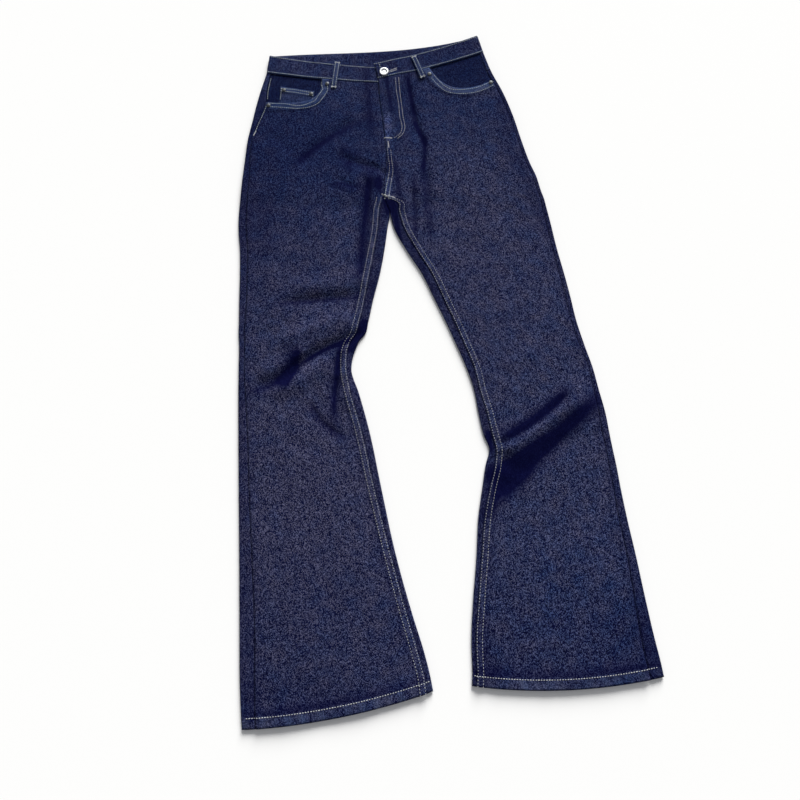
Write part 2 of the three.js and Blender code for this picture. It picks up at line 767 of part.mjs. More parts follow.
function waistband() {
  const path = [];
  const frontSteps = 9;
  const foldSteps = 5;
  const backSteps = 10;
  const rightUp = [3, bandHeight + 2];
  const leftUp = [-10, bandHeight + 1];
  const tabUp = [-8, bandHeight - 2];

  function frontStop(leg, station, across, up) {
    const { x, y } = planPoint(station, across);
    path.push({ x, y: y + gap, z: bandLevel(leg, station, across), up });
  }
  function sideFold(leg, station, up, down) {
    const top = topLevel(station, 0) + bandProud;
    const radius = (top - seatLift) / 2;
    const alongX = (station.inX - station.outX) / station.width;
    const alongY = (station.inY - station.outY) / station.width;
    for (let k = 0; k <= foldSteps; k++) {
      const turn = (Math.PI * (down ? k : foldSteps - k)) / foldSteps;
      const reach = radius * (1 - Math.sin(turn));
      path.push({
        x: station.outX + alongX * reach,
        y: station.outY + alongY * reach + gap,
        z: seatLift + radius * (1 + Math.cos(turn)),
        up,
      });
    }
  }

  const right = stationAt(rightLeg, 0);
  const left = stationAt(leftLeg, 0);
  const rightEnd = 1 + underlap / right.width;
  for (let k = 0; k < frontSteps; k++) {
    const across = mix(rightEnd, 0.04, k / (frontSteps - 1));
    const up = [mix(rightUp[0], 0, across), mix(rightUp[1], tabUp[1], across)];
    frontStop(rightLeg, right, across, up);
  }
  sideFold(rightLeg, right, rightUp, true);
  for (let k = 1; k < backSteps; k++) {
    const t = k / backSteps;
    const x = mix(right.outX + seatEdge, left.outX - seatEdge, t);
    path.push({
      x,
      y: backSeamY(x) + gap,
      z: seatLift,
      up: [mix(rightUp[0], leftUp[0], t), mix(rightUp[1], leftUp[1], t)],
    });
  }
  sideFold(leftLeg, left, leftUp, false);
  for (let k = 0; k < frontSteps; k++) {
    const across = mix(0.04, 1, k / (frontSteps - 1));
    const up = [mix(leftUp[0], tabUp[0], across), mix(leftUp[1], tabUp[1], across)];
    frontStop(leftLeg, left, across, up);
  }

  const widths = 3;
  const wall = clothWall({
    rows: widths,
    columns: path.length,
    flip: true,
    thickness: () => bandThickness,
    point: (i, j) => {
      const stop = path[j];
      const t = 1 - i / (widths - 1);
      return [stop.x + stop.up[0] * t, stop.y + stop.up[1] * t, stop.z];
    },
  });
  return meshOf("waistband", wall, indigo);
}

// Belt loops, patch pockets and metal

// Height of whatever lies on top at a point of the front: the waistband or a panel.
function topAt(leg, x, y) {
  const waist = stationAt(leg, 0);
  const across = (x - waist.outX) / (waist.inX - waist.outX);
  if (y > planPoint(waist, across).y - 2) return bandLevel(leg, waist, across);
  const found = findOnLeg(leg, x, y);
  return frontHeight(leg, found.station, found.across, found.place, openingCurve(leg));
}

// A loop stands clear of the band between its two sewn ends.
function frontLoop({ side, top, bottom }) {
  const leg = side === "right" ? rightLeg : leftLeg;
  const rows = 8;
  const length = Math.hypot(top[0] - bottom[0], top[1] - bottom[1]);
  const acrossX = (top[1] - bottom[1]) / length;
  const acrossY = (bottom[0] - top[0]) / length;
  const wall = clothWall({
    rows,
    columns: 3,
    thickness: () => loopThickness,
    point: (i, j) => {
      const t = i / (rows - 1);
      const x = mix(top[0], bottom[0], t);
      const y = mix(top[1], bottom[1], t);
      const aside = (loopWidth / 2) * (j - 1);
      const level = Math.max(...[-1, 0, 1].map((k) => topAt(leg, x + (k * loopWidth) / 2, y)));
      const arch = 1.4 * Math.sin(Math.PI * t);
      return [x + acrossX * aside, y + acrossY * aside, level + gap + loopThickness + arch];
    },
  });
  return meshOf("belt_loop_front_" + side, wall, indigo);
}

function backLoop({ side, x }) {
  const shape = new THREE.Shape();
  shape.moveTo(-loopWidth / 2, bandHeight - backLoopLength + 1);
  shape.lineTo(loopWidth / 2, bandHeight - backLoopLength + 1);
  shape.lineTo(loopWidth / 2, bandHeight + 1);
  shape.lineTo(-loopWidth / 2, bandHeight + 1);
  const flat = new THREE.ExtrudeGeometry(shape, { depth: loopThickness, bevelEnabled: false });
  const mesh = meshOf("belt_loop_" + side, flat, indigo);
  mesh.position.set(x, backSeamY(x), 0);
  mesh.rotation.z = Math.atan2(backSeamY(x + loopWidth) - backSeamY(x), loopWidth);
  return mesh;
}

function backPocket({ side, x, y, turn }) {
  const { topWidth, bottomWidth, sideHeight, point, corner } = patch;
  const top = (sideHeight + point) / 2;
  const low = top - sideHeight;
  const shape = new THREE.Shape();
  shape.moveTo(-topWidth / 2, top);
  shape.lineTo(-bottomWidth / 2, low + corner);
  shape.quadraticCurveTo(-bottomWidth / 2, low, -bottomWidth / 2 + corner, low - corner / 3);
  shape.lineTo(0, low - point);
  shape.lineTo(bottomWidth / 2 - corner, low - corner / 3);
  shape.quadraticCurveTo(bottomWidth / 2, low, bottomWidth / 2, low + corner);
  shape.lineTo(topWidth / 2, top);
  const flat = new THREE.ExtrudeGeometry(shape, {
    depth: seatLift - gap,
    bevelEnabled: false,
    curveSegments: 4,
  });
  const mesh = meshOf("back_pocket_" + side, flat, indigo);
  mesh.position.set(x, y, 0);
  mesh.rotation.z = turn;
  return mesh;
}

// A round fastener turned from a profile of [radius, height] pairs.
function turned(name, profile, segments, x, y, z) {
  const points = profile.map((pair) => new THREE.Vector2(...pair));
  const mesh = meshOf(name, new THREE.LatheGeometry(points, segments), steel, 0.35, 1);
  mesh.rotation.x = Math.PI / 2;
  mesh.position.set(x, y, z);
  return mesh;
}

// The highest point under a round footprint, and the clearance over it.
function seatOf(level, x, y, radius) {
  const around = Array.from({ length: 8 }, (_, k) => (k * Math.PI) / 4);
  const heights = around.map((a) => level(x + radius * Math.cos(a), y + radius * Math.sin(a)));
  return Math.max(level(x, y), ...heights) + gap;
}

function button() {
  const [x, y] = buttonPlace;
  const z = seatOf((px, py) => topAt(leftLeg, px, py), x, y, buttonRadius);
  const profile = [
    [0, 0],
    [buttonRadius * 0.7, 0],
    [buttonRadius, 0.9],
    [buttonRadius, 1.7],
    [buttonRadius * 0.9, 2.6],
    [buttonRadius * 0.74, 2.9],
    [buttonRadius * 0.56, 2.5],
    [buttonRadius * 0.46, 1.5],
    [0, 1.3],
  ];
  return turned("button", profile, 20, x, y, z);
}

function rivet({ name, at }, level) {
  const [x, y] = at;
  const profile = [
    [0, 0],
    [rivetRadius, 0],
    [rivetRadius, 0.5],
    [rivetRadius * 0.7, 1.1],
    [rivetRadius * 0.35, 1.1],
    [rivetRadius * 0.2, 1.5],
    [0, 1.6],
  ];
  return turned(name, profile, 10, x, y, seatOf(level, x, y, rivetRadius));
}

function coinLevel(x, y) {
  const found = findOnLeg(rightLeg, x, y);
  return topLevel(found.station, found.across);
}

const jeans = new THREE.Group();
for (const leg of [rightLeg, leftLeg]) {
  jeans.add(frontPanel(leg), backPanel(leg), yoke(leg), pocketFacing(leg));
}
jeans.add(coinPocket(), waistband(), button());
for (const loop of frontLoops) jeans.add(frontLoop(loop));
for (const loop of backLoops) jeans.add(backLoop(loop));
for (const pocket of backPockets) jeans.add(backPocket(pocket));
for (const item of rivets) {
  const leg = item.at[0] < buttonPlace[0] ? rightLeg : leftLeg;
  jeans.add(rivet(item, (x, y) => topAt(leg, x, y)));
}
for (const item of coinRivets) jeans.add(rivet(item, coinLevel));

export default jeans;
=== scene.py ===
# Wide leg jeans of raw indigo denim, laid flat with the front up on a pale floor.
# Sizes in the dictionaries and tables are in millimetres in the part's frame: the waist points to
# +Y, the wearer's right leg lies at -X, and the cloth rests on z = 0. Meshes are made in metres.
import math

import bpy
import numpy as np
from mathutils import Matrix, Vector
from mathutils.bvhtree import BVHTree


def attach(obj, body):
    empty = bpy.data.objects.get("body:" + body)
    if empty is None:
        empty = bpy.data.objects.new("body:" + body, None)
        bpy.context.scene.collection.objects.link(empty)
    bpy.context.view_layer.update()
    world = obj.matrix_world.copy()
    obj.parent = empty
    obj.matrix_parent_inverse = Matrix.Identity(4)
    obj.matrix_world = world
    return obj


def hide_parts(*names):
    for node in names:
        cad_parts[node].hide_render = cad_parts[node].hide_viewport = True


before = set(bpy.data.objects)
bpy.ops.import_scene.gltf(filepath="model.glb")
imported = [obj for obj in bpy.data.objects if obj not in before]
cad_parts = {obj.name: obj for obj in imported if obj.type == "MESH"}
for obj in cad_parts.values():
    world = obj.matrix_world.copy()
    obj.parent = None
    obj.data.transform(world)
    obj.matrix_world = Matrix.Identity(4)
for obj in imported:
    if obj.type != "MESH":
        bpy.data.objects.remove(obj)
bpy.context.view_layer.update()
mm = 0.001
print("frame loaded")

# The cut of the jeans, as in the part.

cloth = dict(
    denim=1.2,  # one layer
    gap=0.3,  # clearance at a seam
    hemExtra=0.9,  # what a turned-up hem adds
    seatLift=1.8,  # the seat lies on its patch pockets and loops
    legEdge=2.2,  # radius of a leg's folded edge
    seatEdge=2.7,
    edgeReach=30,  # how fast the top rises from a folded edge
    edgeFade=9,  # folds die out this close to a folded edge
    fellWidth=10,  # felled inseam and rise
    fellRise=1.1,
    pocketHemWidth=15,  # doubled edge of the front pockets
    pocketHemRise=1.5,
    pocketLap=17,
    flyLift=1.4,
    tabLift=2.9,
    flyWidth=38,
)
crotchY = 248  # where the four panels meet
forkY = 220  # where the legs part
seatFoldY = 196  # below this the inner edges are closed folds
seatFrom = dict(low=226, high=262)
flyFoot = dict(low=352, high=372)

stationColumns = ["outX", "outY", "inX", "inY", "sag", "outseam", "inseam"]
rightLegRows = [
    [-296, 501, -89, 479, 3, 8, 0],
    [-305, 463, -87, 447, 2, 12, 0],
    [-311, 432, -83, 420, 2, 17, 0],
    [-316, 400, -80, 393, 1, 12, 0],
    [-322, 363, -77, 361, 0, 8, 0],
    [-325, 314, -73, 316, 0, 9, 0],
    [-327, 280, -76, 282, 0, 12, 0],
    [-328, 250, -79, 248, 0, 12, 1.5],
    [-329, 222, -68, 220, 0, 13, 17],
    [-328, 190, -71, 189, 0, 13, 16],
    [-323, 150, -76, 149, 0, 13, 17],
    [-320, 107, -83, 107, 0, 12, 17],
    [-318, 60, -94, 60, 0, 12, 14],
    [-316, 20, -102, 20, 0, 10, 14],
    [-315, -3, -108, -3, 0, 9, 15],
    [-314, -11, -115, -11, 0, 9, 14],
    [-313, -22, -120, -22, 0, 9, 13],
    [-311, -62, -128, -62, 0, 9, 7],
    [-309, -98, -116, -98, 0, 11, 12],
    [-305, -158, -99, -156, 0, 14, 12],
    [-298, -255, -78, -250, 1, 16, 10],
    [-291, -350, -58, -338, 3, 19, 7],
    [-284, -450, -33, -425, 5, 22, 7],
    [-279, -520, -14, -483, 7, 21, 8],
    [-274, -567, -5, -518, 9, 20, 8],
    [-272, -582, -2, -533, 9, 20, 9],
]
leftLegRows = [
    [106, 547, -89, 486, 4, 7, 0],
    [120, 504, -87, 452, 3, 8, 0],
    [138, 463, -83, 422, 3, 8, 0],
    [155, 412, -80, 388, 2, 7, 0],
    [168, 360, -76, 350, 1, 7, 0],
    [181, 314, -73, 312, 1, 7, 0],
    [190, 290, -75, 286, 0, 7, 0],
    [198, 257, -79, 248, 0, 7, 1.5],
    [201, 248, -76, 240, 0, 7, 17],
    [206, 224, -68, 220, 0, 8, 16],
    [211, 196, -61, 192, 0, 8, 17],
    [218, 153, -39, 149, 0, 8, 17],
    [227, 109, -13, 106, 0, 9, 16],
    [235, 66, 7, 62, 0, 9, 15],
    [242, 23, 26, 20, 0, 9, 14],
    [252, -18, 42, -18, 0, 9, 13],
    [263, -58, 58, -58, 0, 7, 12],
    [270, -95, 69, -95, 0, 9, 9],
    [277, -130, 75, -132, 0, 11, 13],
    [281, -165, 82, -167, 0, 12, 13],
    [284, -190, 90, -190, 0, 11, 10],
    [287, -212, 84, -212, 0, 12, 14],
    [291, -250, 77, -250, 0, 12, 11],
    [296, -290, 70, -290, 1, 13, 9],
    [305, -350, 65, -350, 3, 14, 7],
    [313, -410, 58, -413, 5, 17, 7],
    [320, -458, 54, -464, 8, 20, 6],
    [327, -499, 54, -511, 11, 21, 6],
    [329, -514, 53, -526, 11, 20, 6],
]
centreFrontRows = [
    [486, -89],
    [450, -87],
    [410, -82],
    [365, -77],
    [316, -73],
    [282, -76],
    [248, -79],
]  # y and x down the front edge of the fly
puffRows = [
    [540, 0.9],
    [262, 0.9],
    [226, 1.9],
    [-480, 1.9],
    [-580, 1.2],
]  # y, and how far the top stands over its folded edges
# Large folds: from x and y, to x and y, bend, rise, and the reach to either side.
foldRows = [
    [-98, 76, -262, 56, 6, -2.4, 14, 10],
    [-96, 98, -250, 84, 4, 3, 16, 16],
    [-92, 6, -232, -66, -8, -3.6, 11, 10],
    [-210, -46, -292, -94, 6, -2.6, 12, 12],
    [-116, 30, -262, -26, -6, 5, 20, 15],
    [-150, -50, -262, -104, 0, 3.8, 15, 20],
    [-152, -26, -152, -128, -4, -3, 10, 10],
    [-130, -36, -130, -140, -4, 2.4, 14, 14],
    [-194, -106, -124, -168, 8, -2.2, 11, 11],
    [92, -184, 262, -76, 0, 7.5, 12, 34],
    [100, -176, 246, -84, 0, -3.4, 8, 8],
    [84, -226, 262, -118, 8, -2.8, 34, 16],
    [-236, 300, -112, 412, 10, -1.6, 14, 14],
    [-166, 326, -70, 298, -6, -1.8, 12, 10],
    [-108, 288, -122, 96, 4, -2.4, 12, 12],
    [-26, 440, -6, 290, -8, -1.9, 12, 12],
    [-6, 300, 6, 216, 0, -1.8, 12, 12],
    [-26, 268, -28, 176, 0, -1.8, 9, 9],
]
foldEnds = dict(rises=0.18, falls=0.72)  # shares of a fold's length

# Small tools.


def mix(a, b, t):
    return a + (b - a) * t


def smoothstep(low, high, x):
    t = np.clip((x - low) / (high - low), 0, 1)
    return t * t * (3 - 2 * t)


def slopesOf(places, values):
    spans = np.diff(places)
    rises = np.diff(values) / spans
    inner = (rises[:-1] * spans[1:] + rises[1:] * spans[:-1]) / (spans[:-1] + spans[1:])
    return np.concatenate([rises[:1], inner, rises[-1:]])


def curveAt(places, values, slopes, k, t):
    span = places[k + 1] - places[k]
    t2 = t * t
    t3 = t2 * t
    start = (2 * t3 - 3 * t2 + 1) * values[k] + (t3 - 2 * t2 + t) * span * slopes[k]
    return start + (3 * t2 - 2 * t3) * values[k + 1] + (t3 - t2) * span * slopes[k + 1]


def runAlong(points):
    # the length from the first point to each
    steps = np.linalg.norm(np.diff(points, axis=0), axis=1)
    return np.concatenate([[0], np.cumsum(steps)])


def unevenness(x, y, size, seed):
    # a soft random swell of waves about as long as size, from -1 to 1
    rng = np.random.default_rng(seed)
    total = 0
    for _ in range(8):
        angle = rng.uniform(0, 2 * math.pi)
        wave = size * rng.uniform(0.7, 1.7)
        phase = rng.uniform(0, 2 * math.pi)
        along = x * math.cos(angle) + y * math.sin(angle)
        total = total + np.sin(along * 2 * math.pi / wave + phase)
    return total / 4


# A leg as a smooth run of stations.


def makeLeg(side, rows, outward, opening):
    values = np.array(rows, float)
    columns = {name: values[:, k] for k, name in enumerate(stationColumns)}
    places = columns["outY"][0] - columns["outY"]
    return dict(
        side=side,
        outward=outward,
        opening=opening,
        places=places,
        columns=columns,
        slopes={name: slopesOf(places, column) for name, column in columns.items()},
        last=len(rows) - 1,
        crotch=int(np.argmax(columns["inY"] == crotchY)),
        fork=int(np.argmax(columns["inY"] == forkY)),
    )


rightOpening = np.array([[-193, 490], [-190, 440], [-215, 432], [-294, 437]], float)
leftOpening = np.array([[4, 512], [28, 466], [62, 450], [126, 488]], float)
rightLeg = makeLeg("right", rightLegRows, -1, rightOpening)
leftLeg = makeLeg("left", leftLegRows, 1, leftOpening)
centreYs, centreXs = np.array(centreFrontRows, float).T
centreDrops = centreYs[0] - centreYs
centreSlopes = slopesOf(centreDrops, centreXs)
puffs = np.array(puffRows[::-1], float)


def centreFrontX(y):
    drop = centreYs[0] - y
    k = np.clip(np.searchsorted(centreDrops, drop, side="right") - 1, 0, len(centreDrops) - 2)
    t = (drop - centreDrops[k]) / (centreDrops[k + 1] - centreDrops[k])
    return curveAt(centreDrops, centreXs, centreSlopes, k, t)


def stationAt(leg, place):
    place = np.asarray(place, float)
    k = np.clip(np.floor(place).astype(int), 0, leg["last"] - 1)
    t = place - k
    station = {}
    for name in stationColumns:
        station[name] = curveAt(leg["places"], leg["columns"][name], leg["slopes"][name], k, t)
    front = centreFrontX(station["inY"])
    station["inX"] = np.where(place <= leg["crotch"], front, station["inX"])
    inX = leg["columns"]["inX"]
    climbed = (station["inY"] - forkY) / (crotchY - forkY)
    between = (place > leg["crotch"]) & (place < leg["fork"])
    straight = mix(inX[leg["fork"]], inX[leg["crotch"]], climbed)
    station["inX"] = np.where(between, straight, station["inX"])
    seam = np.maximum(0, station["inseam"])
    station["inseam"] = np.where(place <= leg["crotch"] - 1, 0, seam)
    dx = station["inX"] - station["outX"]
    dy = station["inY"] - station["outY"]
    station["width"] = np.hypot(dx, dy)
    station["alongX"] = dx / station["width"]
    station["alongY"] = dy / station["width"]
    station["place"] = place
    return station


def planPoint(station, across):
    # across is 0 at the outer edge and 1 at the inner edge
    x = mix(station["outX"], station["inX"], across)
    y = mix(station["outY"], station["inY"], across)
    return x, y - station["sag"] * 4 * across * (1 - across)


def lift(y):
    return cloth["seatLift"] * smoothstep(seatFrom["low"], seatFrom["high"], y)


def edgeRadius(y):
    share = smoothstep(seatFrom["low"], seatFrom["high"], y)
    return mix(cloth["legEdge"], cloth["seatEdge"], share)


def foldHeight(x, y, rows):
    total = 0
    for fromX, fromY, toX, toY, bend, rise, before, after in rows:
        length = math.hypot(toX - fromX, toY - fromY)
        alongX = (toX - fromX) / length
        alongY = (toY - fromY) / length
        t = ((x - fromX) * alongX + (y - fromY) * alongY) / length
        inside = (t > 0) & (t < 1)
        bow = bend * 4 * t * (1 - t)
        offset = (y - fromY) * alongX - (x - fromX) * alongY - bow
        width = np.where(offset > 0, before, after)
        ends = smoothstep(0, foldEnds["rises"], t) * smoothstep(1, foldEnds["falls"], t)
        total = total + np.where(inside, rise * ends * np.exp(-((offset / width) ** 2)), 0)
    return total


def topLevel(station, across):
    x, y = planPoint(station, across)
    radius = edgeRadius(y)
    fromOuter = np.maximum(0, across * station["width"] - radius)
    fromInner = np.maximum(0, (1 - across) * station["width"] - radius)
    closed = smoothstep(crotchY, seatFoldY, y)
    outer = 1 - np.exp(-fromOuter / cloth["edgeReach"])
    inner = 1 - closed * np.exp(-fromInner / cloth["edgeReach"])
    puff = np.interp(y, puffs[:, 0], puffs[:, 1])
    fade = smoothstep(0, cloth["edgeFade"], fromOuter)
    fade = fade * mix(1, smoothstep(0, cloth["edgeFade"], fromInner), closed)
    height = 2 * radius + puff * outer * inner + foldHeight(x, y, foldRows) * fade
    height = height + fineForm(x, y) * fade
    return lift(y) + np.maximum(2 * cloth["denim"] + cloth["gap"], height)


# Creases too small for the solids: the same columns as the large folds.
creaseRows = [
    [-38, 500, -24, 396, 0, -2.6, 5, 6],
    [-27, 424, -3, 330, 2, -2.6, 4, 7],
    [-6, 344, 2, 200, 0, -2.2, 7, 7],
    [-24, 268, -27, 180, 0, -2.2, 6, 6],
    [-162, 284, -120, 260, 2, -1.6, 5, 6],
    [-106, 312, -70, 288, 2, -2.2, 5, 5],
    [-158, 330, -76, 306, -5, -1.8, 7, 7],
    [-230, 304, -118, 408, 12, -1.8, 9, 10],
    [-108, 288, -112, 190, 3, -2.6, 7, 6],
    [-112, 200, -122, 104, 2, -2.2, 7, 6],
    [-60, 330, -20, 372, -3, 1.2, 9, 9],
    [-176, 210, -110, 232, 4, -1.2, 9, 9],
    [-286, 372, -232, 330, 3, -1.2, 10, 10],
    [-290, 160, -210, 128, 5, 1.0, 12, 12],
    [-122, 63, -266, 52, -2, -1.2, 5, 6],
    [-118, 76, -262, 64, -2, 0.9, 7, 18],
    [-92, -2, -228, -68, -12, -2.0, 5, 5],
    [-94, 9, -236, -54, -12, 1.8, 6, 20],
    [-188, -36, -290, -96, 7, -2.8, 9, 7],
    [-196, -24, -286, -74, 4, 3.0, 9, 16],
    [-300, -10, -246, 6, 3, -1.4, 8, 9],
    [-268, -112, -184, -88, 4, 1.2, 12, 10],
    [-150, -24, -155, -130, -3, -2.4, 5, 6],
    [-194, -106, -124, -168, 8, 1.8, 11, 11],
    [-196, -110, -122, -174, -13, -2.0, 6, 8],
    [-236, -168, -150, -196, -5, -1.2, 11, 11],
    [-118, -60, -168, -74, 2, 1.8, 7, 8],
    [-116, -92, -172, -118, 3, 1.5, 8, 9],
    [-276, -210, -258, -330, 4, -1.0, 10, 10],
    [36, 150, 104, 176, -4, -1.3, 11, 11],
    [120, 240, 190, 214, 4, 1.0, 12, 12],
    [60, 330, 150, 356, 4, -1.0, 12, 12],
    [110, -60, 190, -34, 4, 1.2, 12, 10],
    [102, -206, 262, -98, 2, 4.2, 8, 24],
    [98, -188, 232, -90, -9, -3.2, 7, 5],
    [90, -264, 252, -154, 4, -2.6, 16, 14],
    [84, -196, 132, -186, 2, 2.0, 7, 7],
    [96, -222, 150, -236, -3, 1.4, 9, 9],
    [270, -150, 232, -196, 3, -1.4, 9, 9],
    [282, -296, 262, -410, 4, -1.1, 12, 12],
    [120, -330, 196, -372, -6, 0.9, 15, 15],
]

# Painted shade in creases, under folds and in the hollows by the fly and crotch: the same columns, with
# darkness for the rise.
paintedShadeRows = [
    [-101, 314, -122, 66, 0, 1.1, 8, 9],
    [-96, 96, -88, 44, 0, 0.5, 8, 8],
    [-96, 64, -280, 46, -2, 0.8, 5, 5],
    [-108, 30, -112, -26, 0, 0.8, 8, 6],
    [-92, -2, -228, -68, -12, 1.5, 4.5, 4.5],
    [-98, 22, -136, -42, -4, 1.0, 9, 9],
    [-143, -8, -152, -168, -6, 1.2, 7, 8],
    [-210, -20, -238, -106, 0, 1.4, 6, 17],
    [-206, -56, -302, -108, 2, 0.9, 8, 9],
    [-196, -108, -118, -178, -13, 0.9, 6, 8],
    [100, -181, 236, -80, -9, 1.6, 13, 6],
    [88, -156, 92, -200, 0, 1.0, 6, 5],
    [76, -272, 292, -86, 0, 1.6, 15, 15],
    [66, -304, 176, -204, 0, 0.7, 14, 11],
    [72, -238, 200, -162, 0, 1.1, 9, 14],
    [-38, 504, -18, 384, 0, 0.9, 4, 5],
    [-26, 404, 0, 346, 0, 1.2, 4, 5],
    [-5, 374, -10, 292, 2, 1.1, 4, 5],
    [-10, 326, 4, 150, 0, 0.8, 10, 8],
    [-26, 300, -22, 150, 0, 0.9, 5, 5],
    [-60, 322, -44, 200, 0, 0.8, 7, 7],
    [-68, 256, -46, 130, 2, 1.0, 5, 4],
    [-80, 262, -66, 206, 0, 0.9, 6, 6],
    [-44, 200, 24, 20, 0, 0.35, 6, 6],
    [-246, 300, -96, 411, 10, 0.65, 7, 8],
    [-166, 330, -70, 300, -6, 0.35, 9, 9],
    [-158, 342, -114, 326, 0, 0.35, 10, 10],
    [-178, 272, -108, 266, 0, 0.6, 7, 8],
    [-150, 316, -132, 292, 0, 0.4, 8, 8],
    [-114, 526, -98, 350, 0, 0.65, 8, 10],
    [-66, 334, -70, 280, 0, 0.5, 6, 6],
    [-77, 505, -62, 398, 0, 0.75, 4, 4],
    [128, 470, 152, 280, 0, 0.25, 12, 16],
    [150, 350, 210, 150, 0, 0.4, 14, 12],
    [-300, 260, -262, 120, 0, 0.25, 14, 30],
]


def fineForm(x, y):
    swell = 0.55 * unevenness(x, y, 120, 3) + 0.22 * unevenness(x, y, 38, 5)
    return foldHeight(x, y, creaseRows) + swell


def findOnLeg(leg, x, y):
    # place and share across of points of the plan, by halving
    low = np.full(np.shape(x), -1.0)
    high = np.full(np.shape(x), float(leg["last"]))
    for _ in range(30):
        place = (low + high) / 2
        station = stationAt(leg, place)
        across = (x - station["outX"]) / (station["inX"] - station["outX"])
        above = planPoint(station, across)[1] > y
        low = np.where(above, place, low)
        high = np.where(above, high, place)
    return station, across


def dropAt(leg, place):
    # how far below the waist a place of the leg lies
    return np.interp(place, np.arange(leg["last"] + 1), leg["places"])


def placeAt(leg, drop):
    return np.interp(drop, leg["places"], np.arange(leg["last"] + 1))


def placesAlong(leg, start, end, step):
    # evenly spaced rows between two places of a leg
    first = dropAt(leg, start)
    last = dropAt(leg, end)
    return placeAt(leg, np.linspace(first, last, int(round((last - first) / step)) + 1))


# Meshes.


# Where the dye took darker or greener, with a few rows of painted shade and painted light: x and y, their
# reaches, shade and greenness.
dyeAndPaintedShadeRows = [
    [-230, 390, 140, 110, -0.5, 1.6],
    [-290, 260, 45, 150, -0.3, 0.3],
    [-160, 290, 110, 90, -0.3, 0.8],
    [70, 420, 120, 90, -0.3, 1.0],
    [-40, 450, 40, 80, -0.25, 0.6],
    [-72, 402, 9, 10, 0.9, -0.3],
    [-72, 249, 12, 6, 0.5, -0.3],
    # painted shade in the crotch
    [-87, 273, 8, 16, -1.6, 0],
    # painted light on the facing, against the waistband's shadow
    [14, 506, 18, 10, 0.5, 0],
    [-230, 160, 90, 110, -0.12, 0],
    [80, -500, 25, 50, -0.35, 0.2],
    [50, 540, 70, 40, -0.25, 0.6],
    [-90, 520, 320, 40, -0.2, 0.5],
    [-80, 546, 70, 18, -0.5, 0.3],
    [62, 566, 60, 14, -0.45, 0.3],
    [-60, 400, 50, 90, -0.15, 0.2],
    [-70, 376, 8, 34, 1.0, -0.5],
    [-71, 266, 8, 20, 0.8, -0.5],
    [-190, 60, 120, 100, -0.05, -0.2],
    [-210, -130, 120, 110, -0.05, -0.5],
    [-200, -280, 130, 120, 0, -0.9],
    [-190, -430, 150, 120, -0.2, -0.2],
    # painted shade above the right leg's hem
    [-240, -530, 120, 30, -0.25, 0],
    [-330, -250, 40, 400, -0.3, 0],
    [80, 170, 60, 150, 0, -0.5],
    [150, 200, 110, 160, -0.05, 0],
    [210, -400, 120, 100, 0.05, 0.5],
    [200, -450, 130, 60, -0.2, 0.2],
    [290, -480, 50, 80, -0.25, 0.6],
    [-140, -560, 170, 35, -0.2, 0.3],
    [200, -510, 160, 30, -0.2, 0.2],
]


# the dye's tone and greenness, less the painted shade of the crease rows
def dyeAndPaintedShadeAt(points):
    x, y = np.asarray(points, float)[:, :2].T
    shade = np.zeros(len(x))
    green = np.zeros(len(x))
    shade -= foldHeight(x, y, paintedShadeRows)
    for atX, atY, reachX, reachY, darker, greener in dyeAndPaintedShadeRows:
        near = np.exp(-(((x - atX) / reachX) ** 2) - ((y - atY) / reachY) ** 2)
        shade += darker * near
        green += greener * near
    return shade, green


def addObject(name, data):
    made = bpy.data.objects.new(name, data)
    bpy.context.scene.collection.objects.link(made)
    return made


def makeMesh(name, points, faces, uv=None, **attributes):
    # points in millimetres; uv in metres of cloth; attributes are one number a point
    # shade is the dye's tone less the painted shade given as dark
    if uv is not None:
        shade, attributes["green"] = dyeAndPaintedShadeAt(points)
        attributes["shade"] = shade - attributes.pop("dark", 0)
    mesh = bpy.data.meshes.new(name)
    faces = faces.tolist() if isinstance(faces, np.ndarray) else faces
    mesh.from_pydata((np.asarray(points) * mm).tolist(), [], faces)
    if uv is not None:
        layer = mesh.uv_layers.new(name="cloth")
        corner = np.zeros(len(mesh.loops), int)
        mesh.loops.foreach_get("vertex_index", corner)
        layer.data.foreach_set("uv", np.asarray(uv)[corner].astype(np.float32).ravel())
    for key, values in attributes.items():
        layer = mesh.attributes.new(key, "FLOAT", "POINT")
        layer.data.foreach_set("value", np.asarray(values, np.float32).ravel())
    mesh.shade_smooth()
    return addObject(name, mesh)


def gridFaces(rows, columns, keep=None, flip=False):
    numbers = np.arange(rows * columns).reshape(rows, columns)
    corners = [numbers[:-1, :-1], numbers[1:, :-1], numbers[1:, 1:], numbers[:-1, 1:]]
    faces = np.stack(corners, -1)
    if flip:
        faces = faces[..., ::-1]
    return faces.reshape(-1, 4) if keep is None else faces[keep]


def gridUv(points, drops, towards=1):
    # cloth measured across each row from its middle, and down the rows; towards is -1 where the
    # columns run the other way, so that the twill slants one way all over
    steps = np.linalg.norm(np.diff(points, axis=1), axis=-1)
    run = np.concatenate([np.zeros((len(points), 1)), np.cumsum(steps, axis=1)], axis=1)
    run = (run - run[:, -1:] / 2) * towards
    down = np.broadcast_to(np.reshape(drops, (-1, 1)), run.shape)
    return np.stack([run, -down], -1).reshape(-1, 2) * mm


def usedOnly(points, faces, *columns):
    used = np.unique(faces)
    renumber = np.zeros(len(points), int)
    renumber[used] = np.arange(len(used))
    return [points[used], renumber[faces], *[column[used] for column in columns]]


lowest = -0.06  # the threads of the underside stand out of the cloth by this, in mm


def thicken(piece, thickness):
    # the given surface is the outer side; the wall goes inwards
    wall = piece.modifiers.new("wall", "SOLIDIFY")
    wall.thickness = thickness * mm
    wall.offset = -1
    wall.use_even_offset = False
    bake(piece)


